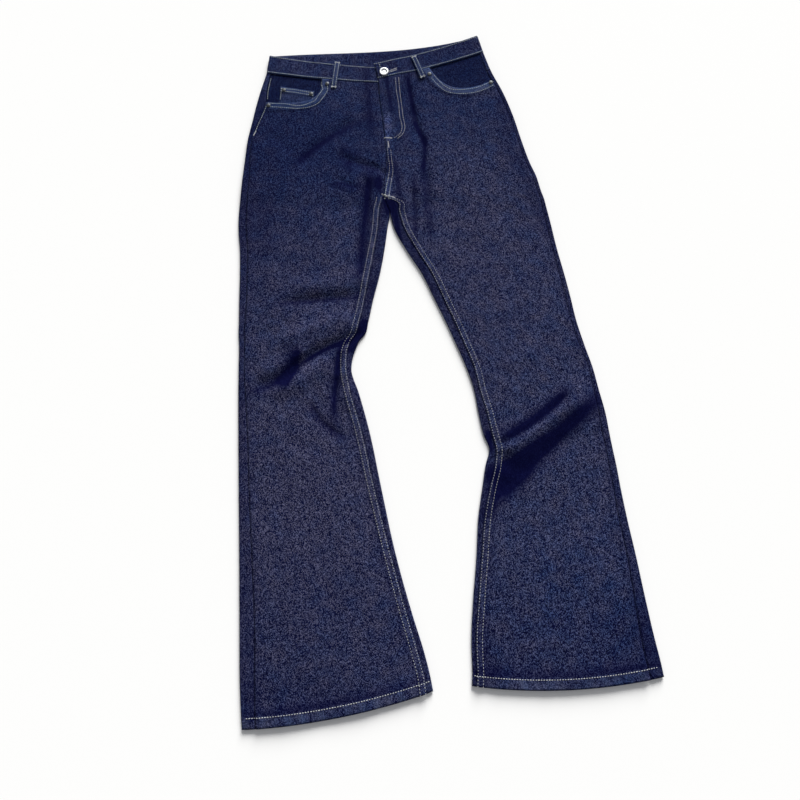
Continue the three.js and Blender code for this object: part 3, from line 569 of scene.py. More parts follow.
def bake(piece):
    # the modifiers become the mesh, and what the wall pushes out below is laid flat again
    graph = bpy.context.evaluated_depsgraph_get()
    made = bpy.data.meshes.new_from_object(piece.evaluated_get(graph))
    points = np.empty(len(made.vertices) * 3, np.float32)
    made.vertices.foreach_get("co", points)
    points[2::3] = np.maximum(points[2::3], lowest * mm)
    made.vertices.foreach_set("co", points)
    piece.modifiers.clear()
    piece.data = made
    made.name = piece.name


outerSides = []  # the outer surfaces, on which the threads are laid


def remember(points, faces):
    outerSides.append((np.asarray(points, float), np.asarray(faces)))


# Front panels.


def bezier(corners, count):
    t = np.linspace(0, 1, count)[:, None]
    a, b, c, d = corners
    return (1 - t) ** 3 * a + 3 * t * (1 - t) ** 2 * b + 3 * t**2 * (1 - t) * c + t**3 * d


def openingOutline(leg, grow):
    # the corner that a pocket opening takes out of the panel, grown by a margin
    inwards = -leg["outward"]
    shift = [[inwards, 0], [inwards, -0.7], [0.7 * inwards, -1], [0, -1]]
    curve = bezier(leg["opening"] + grow * np.array(shift), 90)
    reach = 60 * leg["outward"]
    corners = [
        [curve[-1, 0] + reach, curve[-1, 1]],
        [curve[-1, 0] + reach, curve[0, 1] + 60],
        [curve[0, 0], curve[0, 1] + 60],
    ]
    return curve, np.concatenate([curve, corners])


def insideOutline(x, y, outline):
    inside = np.zeros(np.shape(x), bool)
    for (ax, ay), (bx, by) in zip(outline, np.roll(outline, -1, axis=0)):
        crosses = (ay > y) != (by > y)
        level = by - ay if by != ay else 1
        inside ^= crosses & (x < ax + (y - ay) * (bx - ax) / level)
    return inside


def nearestOn(curve, x, y):
    # nearest point of a polyline to each point, and the distance
    best = np.full(np.shape(x), 1e9)
    nearX = np.zeros(np.shape(x))
    nearY = np.zeros(np.shape(x))
    for (ax, ay), (bx, by) in zip(curve[:-1], curve[1:]):
        length2 = (bx - ax) ** 2 + (by - ay) ** 2
        t = np.clip(((x - ax) * (bx - ax) + (y - ay) * (by - ay)) / length2, 0, 1)
        px = ax + t * (bx - ax)
        py = ay + t * (by - ay)
        distance = np.hypot(x - px, y - py)
        nearer = distance < best
        best = np.where(nearer, distance, best)
        nearX = np.where(nearer, px, nearX)
        nearY = np.where(nearer, py, nearY)
    return nearX, nearY, best


seamForm = dict(dip=0.8, reach=3.4, ridge=0.5, ridgeReach=9, pucker=0.22, wave=9)


def hemShare(leg, place):
    return smoothstep(leg["last"] - 1.4, leg["last"] - 1, place)


def flyOverlap(y, fromCentre):
    atWaist = smoothstep(440, 478, y)
    height = mix(cloth["flyLift"], cloth["tabLift"], atWaist)
    width = mix(cloth["flyWidth"] - 6, cloth["flyWidth"], atWaist)
    above = smoothstep(flyFoot["low"], flyFoot["high"], y)
    return height * above * smoothstep(width + mix(8, 40, atWaist), width, fromCentre)


def riseFell(y, fromCentre):
    between = smoothstep(flyFoot["high"], flyFoot["low"], y)
    between = between * smoothstep(crotchY - 6, crotchY + 4, y)
    fell = cloth["fellWidth"]
    return cloth["fellRise"] * between * smoothstep(fell + 3, fell, fromCentre)


def frontLevel(leg, station, across):
    x, y = planPoint(station, across)
    fromCentre = (1 - across) * station["width"]
    fromInseam = fromCentre - station["inseam"]
    belowCrotch = smoothstep(crotchY, crotchY - 16, y)
    fell = cloth["fellWidth"]
    curve = openingOutline(leg, 0)[0]
    fromOpening = nearestOn(curve, x, y)[2]
    hem = cloth["pocketHemWidth"]
    level = topLevel(station, across)
    level = level + cloth["fellRise"] * belowCrotch * smoothstep(fell + 2, fell, fromInseam)
    level = level + cloth["hemExtra"] * hemShare(leg, station["place"])
    level = level + cloth["pocketHemRise"] * smoothstep(hem + 3, hem, fromOpening)
    if leg is leftLeg:
        level = level + flyOverlap(y, fromCentre) + riseFell(y, fromCentre)
    fromOutseam = across * station["width"] - station["outseam"]
    reach = seamForm["ridgeReach"]
    level = level + seamForm["ridge"] * smoothstep(reach + 3, reach, fromOutseam)
    level = level - seamDip(fromOutseam)
    sewn = [
        smoothstep(16, 10, fromInseam) * belowCrotch,
        smoothstep(22, 14, fromOpening),
        smoothstep(14, 8, fromOutseam) * 0.6,
        hemShare(leg, station["place"]),
        smoothstep(44, 38, fromCentre) * smoothstep(352, 366, y),
    ]
    return level + pucker(x, y) * np.maximum.reduce(np.broadcast_arrays(*sewn))


def seamDip(distance):
    # the edges beside a plain seam turn down into it
    return seamForm["dip"] * smoothstep(seamForm["reach"], 0, distance) ** 2


def pucker(x, y):
    # stitching draws the cloth into small uneven waves
    return seamForm["pucker"] * unevenness(x, y, seamForm["wave"], 31)


def frontPanel(leg):
    places = placesAlong(leg, 0, leg["last"], 3)[:, None]
    station = stationAt(leg, places)
    columns = 84
    spread = np.linspace(0, 1, columns)[None, :]
    start = (station["outseam"] + cloth["gap"] / 2) / station["width"]
    end = 1 - (station["inseam"] + cloth["gap"] / 2) / station["width"]
    across = mix(start, end, spread)
    x, y = planPoint(station, across)
    curve, outline = openingOutline(leg, 0)
    removed = insideOutline(x, y, outline)
    centreX = (x[:-1, :-1] + x[1:, 1:] + x[1:, :-1] + x[:-1, 1:]) / 4
    centreY = (y[:-1, :-1] + y[1:, 1:] + y[1:, :-1] + y[:-1, 1:]) / 4
    keep = ~insideOutline(centreX, centreY, outline)
    # corners of kept cells on the opening's side are drawn onto its curve
    kept = np.zeros(x.shape, bool)
    cutAway = np.zeros(x.shape, bool)
    for di in (0, 1):
        for dj in (0, 1):
            corner = (slice(di, di + keep.shape[0]), slice(dj, dj + keep.shape[1]))
            kept[corner] |= keep
            cutAway[corner] |= ~keep
    edge = kept & (cutAway | removed)
    nearX, nearY, away = nearestOn(curve, x, y)
    x = np.where(edge & (away < 6), nearX, x)
    y = np.where(edge & (away < 6), nearY, y)
    found, foundAcross = findOnLeg(leg, x, y)
    z = np.where(edge, frontLevel(leg, found, foundAcross), frontLevel(leg, station, across))
    points = np.stack([x, y, z], -1)
    uv = gridUv(points, dropAt(leg, places[:, 0]), -leg["outward"])
    wear = frontWear(leg, station, across, away).reshape(-1)
    dark = frontPaintedShade(leg, station, across).reshape(-1)
    faces = gridFaces(*x.shape, keep=keep, flip=leg is leftLeg)
    points, faces, uv, wear, dark = usedOnly(points.reshape(-1, 3), faces, uv, wear, dark)
    remember(points, faces)
    return makeMesh("front_panel_" + leg["side"], points, faces, uv, wear=wear, dark=dark)


seamPaintedShade = dict(right=0.3, left=0.5, leftFell=0.25)


def fromHem(leg, place):
    return leg["places"][-1] - dropAt(leg, place)


def hemShadow(leg, place):
    # painted shadow: the turned-up hem stands over the leg, which is painted dark above its stitches
    above = fromHem(leg, place)
    return 0.7 * smoothstep(14, 17, above) * smoothstep(34, 16, above)


def hemRub(leg, place, x, y):
    # a hem ropes as it is sewn, and rubs pale on the slanting ridges
    roped = 0.22 + 0.35 * unevenness(x + 0.5 * y, y * 0, 13, 41)
    return roped * smoothstep(15, 12, fromHem(leg, place))


def frontPaintedShade(leg, station, across):
    # painted shade in the seam grooves, on and beside the raised fells, along the outer edge, and in the
    # hem's shadow
    fromOutseam = across * station["width"] - station["outseam"]
    fromInseam = (1 - across) * station["width"] - station["inseam"]
    y = planPoint(station, across)[1]
    below = smoothstep(crotchY + 4, crotchY - 14, y)
    groove = seamPaintedShade[leg["side"]] * smoothstep(4.5, 1, fromOutseam)
    beside = 0.35 * below * smoothstep(22, 13, fromInseam) * smoothstep(9, 12, fromInseam)
    edge = 0.2 * smoothstep(16, 4, fromOutseam)
    # painted shade on the left leg's fell, lower down
    worn = seamPaintedShade["leftFell"] * (leg is leftLeg)
    fell = worn * below * smoothstep(14, 11, fromInseam) * smoothstep(-160, -300, y)
    shares = np.broadcast_arrays(groove, beside, edge, fell, hemShadow(leg, station["place"]))
    return np.maximum.reduce(shares)


def frontWear(leg, station, across, fromOpening):
    # raised seams, hems and pocket edges are a little paler
    fromInseam = (1 - across) * station["width"] - station["inseam"]
    x, y = planPoint(station, across)
    fell = smoothstep(13, 8, fromInseam) * smoothstep(crotchY + 4, crotchY - 10, y)
    pocket = smoothstep(14, 11, fromOpening)
    outer = smoothstep(8, 0, across * station["width"] - station["outseam"])
    outer = outer * smoothstep(3, 6, across * station["width"] - station["outseam"])
    hem = hemRub(leg, station["place"], x, y)
    shares = np.broadcast_arrays(0.06 * fell, hem, 0.7 * pocket, 0.25 * outer)
    return np.maximum.reduce(shares)


# Back panels and yokes, which wrap round the edges to the seams on top.

backSeam = dict(centreX=-95, sag=12, skew=20)
yokeDrop = dict(side=38, centre=72)


def backSeamY(x):
    rightX, rightY = rightLegRows[0][:2]
    leftX, leftY = leftLegRows[0][:2]
    t = (x - rightX) / (leftX - rightX)
    bow = backSeam["sag"] + backSeam["skew"] * (t - 0.5)
    return mix(rightY, leftY, t) - 4 * t * (1 - t) * bow


def backBow(leg, x):
    sideX = leg["columns"]["outX"][0] - leg["outward"] * cloth["seatEdge"]
    t = (x - sideX) / (backSeam["centreX"] - sideX)
    return backSeamY(x) - mix(backSeamY(sideX), backSeamY(backSeam["centreX"]), t)


def underForm(x, y):
    # creases of the hidden side: shallow hollows, so that it still rests flat
    swell = np.maximum(0, unevenness(x, y, 90, 11)) * 0.7
    return swell + 0.25 * np.maximum(0, unevenness(x, y, 30, 13))


def outerMargin(leg, station, t):
    radius = (topLevel(station, 0) - lift(station["outY"])) / 2
    seam = station["outseam"] - cloth["gap"] / 2
    across = mix(seam, radius, t) / station["width"]
    x, y = planPoint(station, across)
    return x, y, topLevel(station, across) - seamDip(seam - across * station["width"])


def outerFold(leg, station, t):
    ground = lift(station["outY"])
    radius = (topLevel(station, 0) - ground) / 2
    reach = radius * (1 - np.sin(math.pi * t))
    x = station["outX"] + station["alongX"] * reach
    y = station["outY"] + station["alongY"] * reach
    return x, y, ground + radius * (1 + np.cos(math.pi * t))


def innerFoldFacing(leg, station):
    # at the fork the fold faces down the garment, and soon turns to face the other leg
    turned = (math.pi / 2) * smoothstep(forkY, forkY - 22, station["inY"])
    return -leg["outward"] * np.sin(turned), -np.cos(turned)


def innerCentre(leg, station):
    radius = (topLevel(station, 1) - lift(station["inY"])) / 2
    faceX, faceY = innerFoldFacing(leg, station)
    apart = leg["outward"] * cloth["gap"] / 2
    x = station["inX"] + apart - faceX * radius
    return x, station["inY"] - faceY * radius, radius


def underside(leg, station, t):
    outRadius = (topLevel(station, 0) - lift(station["outY"])) / 2
    startX = station["outX"] + station["alongX"] * outRadius
    startY = station["outY"] + station["alongY"] * outRadius
    parted = station["place"] >= leg["fork"]
    legX, legY, _ = innerCentre(leg, station)
    top = leg["columns"]["outY"][0]
    down = (top - station["inY"]) / (top - forkY)
    apart = leg["outward"] * cloth["gap"] / 2
    seatX = mix(backSeam["centreX"], leg["columns"]["inX"][leg["fork"]], down) + apart
    seatY = mix(backSeamY(backSeam["centreX"]), forkY, down)
    x = mix(startX, np.where(parted, legX, seatX), t)
    sag = -station["sag"] * 4 * t * (1 - t)
    bow = np.where(parted, sag, backBow(leg, x) * (1 - down))
    y = mix(startY, np.where(parted, legY, seatY), t) + bow
    fade = smoothstep(0, 0.08, t) * np.where(parted, smoothstep(1, 0.92, t), 1)
    above = topLevel(station, np.clip(t, 0.02, 0.98)) - lift(y)
    room = np.maximum(0, above - 2 * cloth["denim"] - 2 * cloth["gap"])
    return x, y, lift(y) + np.minimum(underForm(x, y), room) * fade


def innerFold(leg, station, t):
    centreX, centreY, radius = innerCentre(leg, station)
    faceX, faceY = innerFoldFacing(leg, station)
    reach = radius * np.sin(math.pi * t)
    z = lift(station["inY"]) + radius * (1 - np.cos(math.pi * t))
    return centreX + faceX * reach, centreY + faceY * reach, z


def innerMargin(leg, station, t):
    centreX, centreY, radius = innerCentre(leg, station)
    apart = leg["outward"] * cloth["gap"] / 2
    parted = station["place"] >= leg["fork"]
    seamAcross = 1 - (station["inseam"] - cloth["gap"] / 2) / station["width"]
    seamX, seamY = planPoint(station, seamAcross)
    startX = np.where(parted, centreX, station["inX"] + 2 * apart)
    startY = np.where(parted, centreY, station["inY"])
    startAcross = np.where(parted, 1 - radius / station["width"], 1)
    z = topLevel(station, mix(startAcross, seamAcross, t))
    return mix(startX, seamX, t), mix(startY, seamY, t), z


# Parts of a row of a back panel: the shape of each and its cells.
backParts = [(outerMargin, 5), (outerFold, 10), (underside, 60), (innerFold, 10), (innerMargin, 5)]
underStart = backParts[0][1] + backParts[1][1]
underEnd = underStart + backParts[2][1]
innerTop = underEnd + backParts[3][1]
backColumns = innerTop + backParts[4][1] + 1


def backGrid(leg, places):
    # places has one number for each point of the grid
    points = np.zeros((*places.shape, 3))
    first = 0
    for shape, cells in backParts:
        last = first + cells
        if last >= places.shape[1]:
            last = places.shape[1] - 1
        t = (np.arange(first, last + 1) - first)[None, :] / cells
        station = stationAt(leg, places[:, first : last + 1])
        points[:, first : last + 1] = np.stack(shape(leg, station, t), -1)
        first = last
        if first == places.shape[1] - 1:
            break
    return points


def yokePlaces(leg):
    t = np.clip((np.arange(backColumns) - underStart) / backParts[2][1], 0, 1)
    return placeAt(leg, mix(yokeDrop["side"], yokeDrop["centre"], t))


def backWear(leg, places, points):
    j = np.arange(backColumns)
    side = smoothstep(3, 0, np.abs(j - underStart + 5)) + smoothstep(3, 0, np.abs(j - innerTop + 5))
    hem = hemRub(leg, places, points[..., 0], points[..., 1])
    return np.maximum(0.2 * side[None, :], hem).reshape(-1)


def backPaintedShade(leg, places):
    # painted shade: in the groove of the outseam, on the turned edge outside it, on the strip beyond the
    # inseam, and in the hem's shadow
    j = np.arange(backColumns)
    groove = seamPaintedShade[leg["side"]] * smoothstep(2.2, 0.6, j)
    edge = (0.5 if leg is leftLeg else 0.3) * smoothstep(underStart + 2, underStart - 4, j)
    beyond = 0.55 * smoothstep(innerTop - 3, innerTop + 1, j)
    shares = np.maximum.reduce([groove, edge, beyond])
    return np.maximum(shares[None, :], hemShadow(leg, places)).reshape(-1)


def backPanel(leg):
    belowYoke = 3  # the rows under the slanting yoke seam are level again from this station
    parts = [
        placesAlong(leg, 0, leg["crotch"], 3.5),
        placesAlong(leg, leg["crotch"], leg["fork"], 3.5)[1:],
        placesAlong(leg, leg["fork"], leg["last"], 3.5)[1:],
    ]
    rows = np.concatenate(parts)
    starts = yokePlaces(leg)[None, :] + 0.02
    share = rows[:, None] / belowYoke
    places = np.where(share < 1, mix(starts, belowYoke, share), rows[:, None])
    places = places * np.ones((1, backColumns))
    points = backGrid(leg, places)
    i = np.arange(len(rows) - 1)[:, None]
    j = np.arange(backColumns - 1)[None, :]
    forkRow = len(parts[0]) + len(parts[1]) - 1
    crotchRow = len(parts[0]) - 1
    keep = (j < underEnd) | (i >= forkRow) | ((j >= innerTop) & (i >= crotchRow))
    uv = gridUv(points, dropAt(leg, rows), leg["outward"])
    wear = backWear(leg, places, points)
    dark = backPaintedShade(leg, places)
    faces = gridFaces(len(rows), backColumns, keep=keep, flip=leg is rightLeg)
    points, faces, uv, wear, dark = usedOnly(points.reshape(-1, 3), faces, uv, wear, dark)
    remember(points, faces)
    return makeMesh("back_panel_" + leg["side"], points, faces, uv, wear=wear, dark=dark)


def yoke(leg):
    rows = 18
    ends = yokePlaces(leg)[None, : underEnd + 1] - 0.01
    places = np.linspace(0, 1, rows)[:, None] * ends
    points = backGrid(leg, places)
    faces = gridFaces(rows, underEnd + 1, flip=leg is rightLeg)
    uv = gridUv(points, np.linspace(0, 45, rows), leg["outward"])
    wear = np.broadcast_to(0.3 * smoothstep(0.8, 1, np.linspace(0, 1, rows))[:, None], places.shape)
    remember(points.reshape(-1, 3), faces)
    return makeMesh("yoke_panel_" + leg["side"], points.reshape(-1, 3), faces, uv, wear=wear)


# Front pockets: the facing and the coin pocket that show in the openings.


def facing(leg):
    lowest = leg["opening"][3][1] - cloth["pocketLap"] - 14
    last = findOnLeg(leg, leg["opening"][2][0], lowest)[0]["place"]
    places = placesAlong(leg, 0, last, 2.5)[:, None]
    station = stationAt(leg, places)
    start = (station["outseam"] + cloth["gap"] / 2) / station["width"]
    across = mix(start, 0.68, np.linspace(0, 1, 60)[None, :])
    x, y = planPoint(station, across)
    z = topLevel(station, across) - (cloth["denim"] + cloth["gap"])
    outline = openingOutline(leg, cloth["pocketLap"])[1]
    keep = insideOutline(x[:-1, :-1], y[:-1, :-1], outline)
    points = np.stack([x, y, z], -1)
    uv = gridUv(points, dropAt(leg, places[:, 0]), -leg["outward"])
    faces = gridFaces(*x.shape, keep=keep, flip=leg is leftLeg)
    points, faces, uv = usedOnly(points.reshape(-1, 3), faces, uv)
    remember(points, faces)
    return makeMesh("pocket_facing_cloth_" + leg["side"], points, faces, uv, wear=np.zeros(len(points)))


coinPatch = dict(
    outerTop=[-268.5, 470.5],
    innerTop=[-206, 460.5],
    outerFoot=[-270, 432],
    innerFoot=[-207, 441],
    hem=11,
    hemRise=0.9,
)


def coinPocket():
    columns = 34
    rows = 20
    t = np.linspace(0, 1, columns)[None, :]
    curve = bezier(rightOpening, 90)
    order = np.argsort(curve[:, 0])
    topX, topY = [mix(coinPatch["outerTop"][k], coinPatch["innerTop"][k], t) for k in (0, 1)]
    footX = mix(coinPatch["outerFoot"][0], coinPatch["innerFoot"][0], t)
    footY = np.interp(footX, curve[order, 0], curve[order, 1]) + cloth["gap"]
    down = np.linspace(0, 1, rows)[:, None]
    x = mix(topX, footX, down)
    y = mix(topY, footY, down)
    station, across = findOnLeg(rightLeg, x, y)
    below = topY - y
    hem = smoothstep(coinPatch["hem"] + 1.5, coinPatch["hem"], below)
    z = topLevel(station, across) + coinPatch["hemRise"] * hem
    points = np.stack([x, y, z], -1)
    uv = gridUv(points, np.linspace(0, 30, rows))
    wear = 0.3 + 0.45 * smoothstep(coinPatch["hem"], 9, below) + 0 * x
    faces = gridFaces(rows, columns)
    remember(points.reshape(-1, 3), faces)
    return makeMesh("coin_pocket_cloth", points.reshape(-1, 3), faces, uv, wear=wear)


# Waistband: one strip from under the tab, round the back, to the tab.

band = dict(
    thickness=2.4,
    height=36,
    proud=0.6,
    underlap=24,
    round=1.1,  # rounding of its folded top edge
    rightUp=[3, 38],
    leftUp=[-10, 37],
    tabUp=[-8, 34],
    backLift=1.8,
)


def bandLevel(leg, station, across):
    fromCentre = (1 - across) * station["width"]
    raised = flyOverlap(station["inY"], fromCentre) if leg is leftLeg else 0
    return topLevel(station, np.minimum(1, across)) + band["proud"] + raised


def bandPath():
    # points along the seam with the way up the band at each, one after another
    right = stationAt(rightLeg, 0)
    left = stationAt(leftLeg, 0)
    path = []

    def front(leg, station, shares, outerUp, innerUp):
        for across in shares:
            x, y = planPoint(station, across)
            up = [mix(outerUp[k], innerUp[k], across) for k in (0, 1)]
            path.append([x, y + cloth["gap"], bandLevel(leg, station, across), *up])

    def sideFold(station, up, down):
        top = topLevel(station, 0) + band["proud"]
        radius = (top - band["backLift"]) / 2
        for t in np.linspace(0, 1, 12)[:: 1 if down else -1]:
            reach = radius * (1 - math.sin(math.pi * t))
            x = station["outX"] + station["alongX"] * reach
            y = station["outY"] + station["alongY"] * reach + cloth["gap"]
            z = band["backLift"] + radius * (1 + math.cos(math.pi * t))
            path.append([x, y, z, *up])

    rightEnd = 1 + band["underlap"] / right["width"]
    middleUp = [0, band["tabUp"][1]]
    front(rightLeg, right, np.linspace(rightEnd, 0.02, 76), band["rightUp"], middleUp)
    sideFold(right, band["rightUp"], True)
    for t in np.linspace(0, 1, 122)[1:-1]:
        x = mix(right["outX"] + cloth["seatEdge"], left["outX"] - cloth["seatEdge"], t)
        up = [mix(band["rightUp"][k], band["leftUp"][k], t) for k in (0, 1)]
        path.append([x, backSeamY(x) + cloth["gap"], band["backLift"], *up])
    sideFold(left, band["leftUp"], False)
    front(leftLeg, left, np.linspace(0.02, 1, 72), band["leftUp"], band["tabUp"])
    return np.array(path, float)


def bandFrames():
    path = bandPath()
    foot = path[:, :3]
    up = np.concatenate([path[:, 3:], np.zeros((len(path), 1))], axis=1)
    ahead = np.gradient(foot, axis=0)
    ahead /= np.linalg.norm(ahead, axis=1)[:, None]
    out = np.cross(up, ahead)
    out /= np.linalg.norm(out, axis=1)[:, None]
    run = runAlong(foot)
    return foot, up, out, run


def waistband():
    foot, up, out, run = bandFrames()
    thick = band["thickness"]
    edge = band["round"] / band["height"]
    # the section: outer side from the seam up, over the folded edge, and down the inner side
    section = [[h, 0] for h in np.linspace(0, 1 - edge, 14)]
    for turn in np.linspace(0, math.pi, 7)[1:-1]:
        section.append([1 - edge + edge * math.sin(turn), -thick / 2 * (1 - math.cos(turn))])
    section += [[h, -thick] for h in np.linspace(1 - edge, 0, 8)]
    section = np.array(section)
    height = section[None, :, 0, None]
    depth = section[None, :, 1, None]
    ripple = 0.35 * unevenness(run[:, None], band["height"] * section[None, :, 0], 46, 21)
    ripple = ripple * np.sin(math.pi * np.clip(section[None, :, 0], 0, 1))
    points = foot[:, None] + up[:, None] * height + out[:, None] * (depth + ripple[..., None])
    rows, columns = points.shape[:2]
    faces = gridFaces(rows, columns)
    loop = np.arange(rows * columns).reshape(rows, columns)
    foots = np.stack([loop[:-1, -1], loop[1:, -1], loop[1:, 0], loop[:-1, 0]], -1)
    caps = []
    for row, turned in ((0, False), (rows - 1, True)):
        ring = loop[row]
        half = columns // 2
        for k in range(half):
            if k + 1 < columns - 1 - k:
                quad = [ring[k], ring[k + 1], ring[columns - 2 - k], ring[columns - 1 - k]]
                caps.append(quad[::-1] if turned else quad)
    faces = np.concatenate([faces, foots, np.array(caps)])
    across = np.broadcast_to(run[:, None], (rows, columns))
    upward = runAlong(section * [band["height"], 1])
    uv = np.stack([across, np.broadcast_to(upward, (rows, columns))], -1).reshape(-1, 2) * mm
    high = np.broadcast_to(section[:, 0], (rows, columns))
    wear = 0.3 * smoothstep(0.9, 1, high) + 0.7 * smoothstep(0.14, 0.06, high)
    piece = makeMesh("waistband_cloth", points.reshape(-1, 3), faces, uv, wear=wear)
    remember(points.reshape(-1, 3), faces)
    return piece


# Belt loops, patch pockets and metal.

loops = dict(width=10.5, thickness=1.5, arch=1.4, ridge=0.35, rowAside=3.1, tackReach=4.6)
frontLoops = [
    dict(side="right", top=[-165, 524], bottom=[-171, 467]),
    dict(side="left", top=[-25, 536], bottom=[-7, 488]),
]
backLoops = [
    dict(side="back_right", x=-215), dict(side="back_centre", x=-95), dict(side="back_left", x=30)
]
backLoopLength = 52
backLoopTop = band["height"] + 1  # above the waist seam
patch = dict(topWidth=150, bottomWidth=132, sideHeight=134, point=22, corner=12)
backPockets = [dict(side="right", x=-198, y=349, turn=-0.105), dict(side="left", x=50, y=379, turn=0.31)]


def topAt(leg, x, y):
    # the height of whatever lies on top: the waistband or a panel
    waist = stationAt(leg, 0)
    across = (x - waist["outX"]) / (waist["inX"] - waist["outX"])
    onBand = y > planPoint(waist, across)[1] - 2
    station, found = findOnLeg(leg, x, y)
    return np.where(onBand, bandLevel(leg, waist, across), frontLevel(leg, station, found))


def ribbonMesh(name, middle, aside, out, width, thickness, wear):
    # a flat ribbon with rounded edges along middle points, closed at both ends
    profile = []
    edge = thickness / 2
    for turn in np.linspace(-math.pi / 2, math.pi / 2, 5):
        profile.append([width / 2 - edge + edge * math.cos(turn), edge + edge * math.sin(turn)])
    for share in np.linspace(0.7, -0.7, 7):
        height = thickness + loops["ridge"] * math.cos(share * math.pi / 1.4) ** 2
        profile.append([share * (width / 2 - edge), height])
    for turn in np.linspace(math.pi / 2, math.pi * 1.5, 5):
        profile.append([edge - width / 2 + edge * math.cos(turn), edge + edge * math.sin(turn)])
    profile = np.array(profile)
    side = aside[:, None] * profile[None, :, 0, None]
    points = middle[:, None] + side + out[:, None] * profile[None, :, 1, None]
    # both ends are rounded down a little, as folded-under cloth is
    ends = np.ones(len(middle))
    ends[[0, -1]] = 0.55
    points = middle[:, None] + (points - middle[:, None]) * np.stack([ends, ends, ends], -1)[:, None]
    rows, columns = points.shape[:2]
    numbers = np.arange(rows * columns).reshape(rows, columns)
    ahead = np.roll(numbers, -1, axis=1)
    faces = np.stack([numbers[:-1], ahead[:-1], ahead[1:], numbers[1:]], -1).reshape(-1, 4)
    caps = []
    for ring, flip in ((numbers[0], True), (numbers[-1], False)):
        fan = [(ring[0], ring[k], ring[k + 1]) for k in range(1, columns - 1)]
        caps += [[a, c, b] if flip else [a, b, c] for a, b, c in fan]
    run = runAlong(middle)
    around = np.cumsum(np.linalg.norm(np.diff(profile, axis=0, append=profile[:1]), axis=1))
    uv = np.stack(np.broadcast_arrays(around[None, :], -run[:, None]), -1).reshape(-1, 2) * mm
    polygons = faces.tolist() + [[int(n) for n in cap] for cap in caps]
    remember(points.reshape(-1, 3), faces)
    return makeMesh(name, points.reshape(-1, 3), polygons, uv, wear=np.full(rows * columns, wear))


def frontLoop(spec):
    leg = rightLeg if spec["side"] == "right" else leftLeg
    top = np.array(spec["top"], float)
    bottom = np.array(spec["bottom"], float)
    t = np.linspace(0, 1, 42)
    ground = top + (bottom - top) * t[:, None]
    ahead = (bottom - top) / np.linalg.norm(bottom - top)
    aside = np.array([-ahead[1], ahead[0]])
    reach = loops["width"] / 2
    levels = [topAt(leg, ground[:, 0] + k * reach, ground[:, 1]) for k in (-1, 0, 1)]
    level = np.maximum.reduce(levels)
    # a smoothed level, so that the loop bridges the step from the band to the panel
    padded = np.pad(level, 4, mode="edge")
    smooth = np.maximum.reduce([padded[k : k + len(level)] for k in range(9)])
    arch = loops["arch"] * np.sin(math.pi * t) ** 0.7
    z = np.convolve(np.pad(smooth, 3, mode="edge"), np.ones(7) / 7, "valid") + cloth["gap"] + arch
    middle = np.column_stack([ground, z])
    slope = np.gradient(middle, axis=0)
    slope /= np.linalg.norm(slope, axis=1)[:, None]
    across = np.column_stack([np.tile(aside, (len(t), 1)), np.zeros(len(t))])
    out = np.cross(slope, across)
    out *= np.sign(out[:, 2:3])
    name = "belt_loop_cloth_front_" + spec["side"]
    return ribbonMesh(name, middle, -across, out, loops["width"], loops["thickness"], 0.55)


def backLoop(spec):
    x = spec["x"]
    seamY = float(backSeamY(x))
    turn = math.atan2(backSeamY(x + loops["width"]) - seamY, loops["width"])
    along = np.array([-math.sin(turn), math.cos(turn)])
    count = 30
    t = np.linspace(backLoopTop, backLoopTop - backLoopLength, count)
    level = np.full(count, loops["thickness"])
    middle = np.column_stack([x + along[0] * t, seamY + along[1] * t, level])
    across = np.tile([along[1], -along[0], 0], (count, 1))
    out = np.tile([0.0, 0.0, -1.0], (count, 1))
    name = "belt_loop_cloth_" + spec["side"]
    return ribbonMesh(name, middle, across, out, loops["width"], loops["thickness"] - 0.35, 0.55)


def patchOutline(inset=0):
    # from the middle of the point round to the middle of the top, both halves
    top = (patch["sideHeight"] + patch["point"]) / 2
    low = top - patch["sideHeight"]
    half = patch["bottomWidth"] / 2
    corner = patch["corner"]
    right = [[0, low - patch["point"]], [half - corner, low - corner / 3]]
    for t in (0.25, 0.5, 0.75):
        x = (1 - t) ** 2 * (half - corner) + 2 * t * (1 - t) * half + t**2 * half
        y = (1 - t) ** 2 * (low - corner / 3) + 2 * t * (1 - t) * low + t**2 * (low + corner)
        right.append([x, y])
    right += [[half, low + corner], [patch["topWidth"] / 2, top]]
    right = np.array(right)
    left = right[::-1] * [-1, 1]
    outline = np.concatenate([right, left[:-1]])
    if inset:
        ahead = np.roll(outline, -1, axis=0) - outline
        behind = outline - np.roll(outline, 1, axis=0)
        normals = []
        for vector in (ahead, behind):
            unit = vector / np.linalg.norm(vector, axis=1)[:, None]
            normals.append(np.stack([-unit[:, 1], unit[:, 0]], -1))
        inner = normals[0] + normals[1]
        inner /= np.linalg.norm(inner, axis=1)[:, None]
        share = np.sum(inner * normals[0], axis=1)
        outline = outline + inner * inset / np.maximum(0.5, share)[:, None]
    return outline


def placed(spec, points):
    cosine = math.cos(spec["turn"])
    sine = math.sin(spec["turn"])
    x = spec["x"] + points[:, 0] * cosine - points[:, 1] * sine
    y = spec["y"] + points[:, 0] * sine + points[:, 1] * cosine
    return x, y


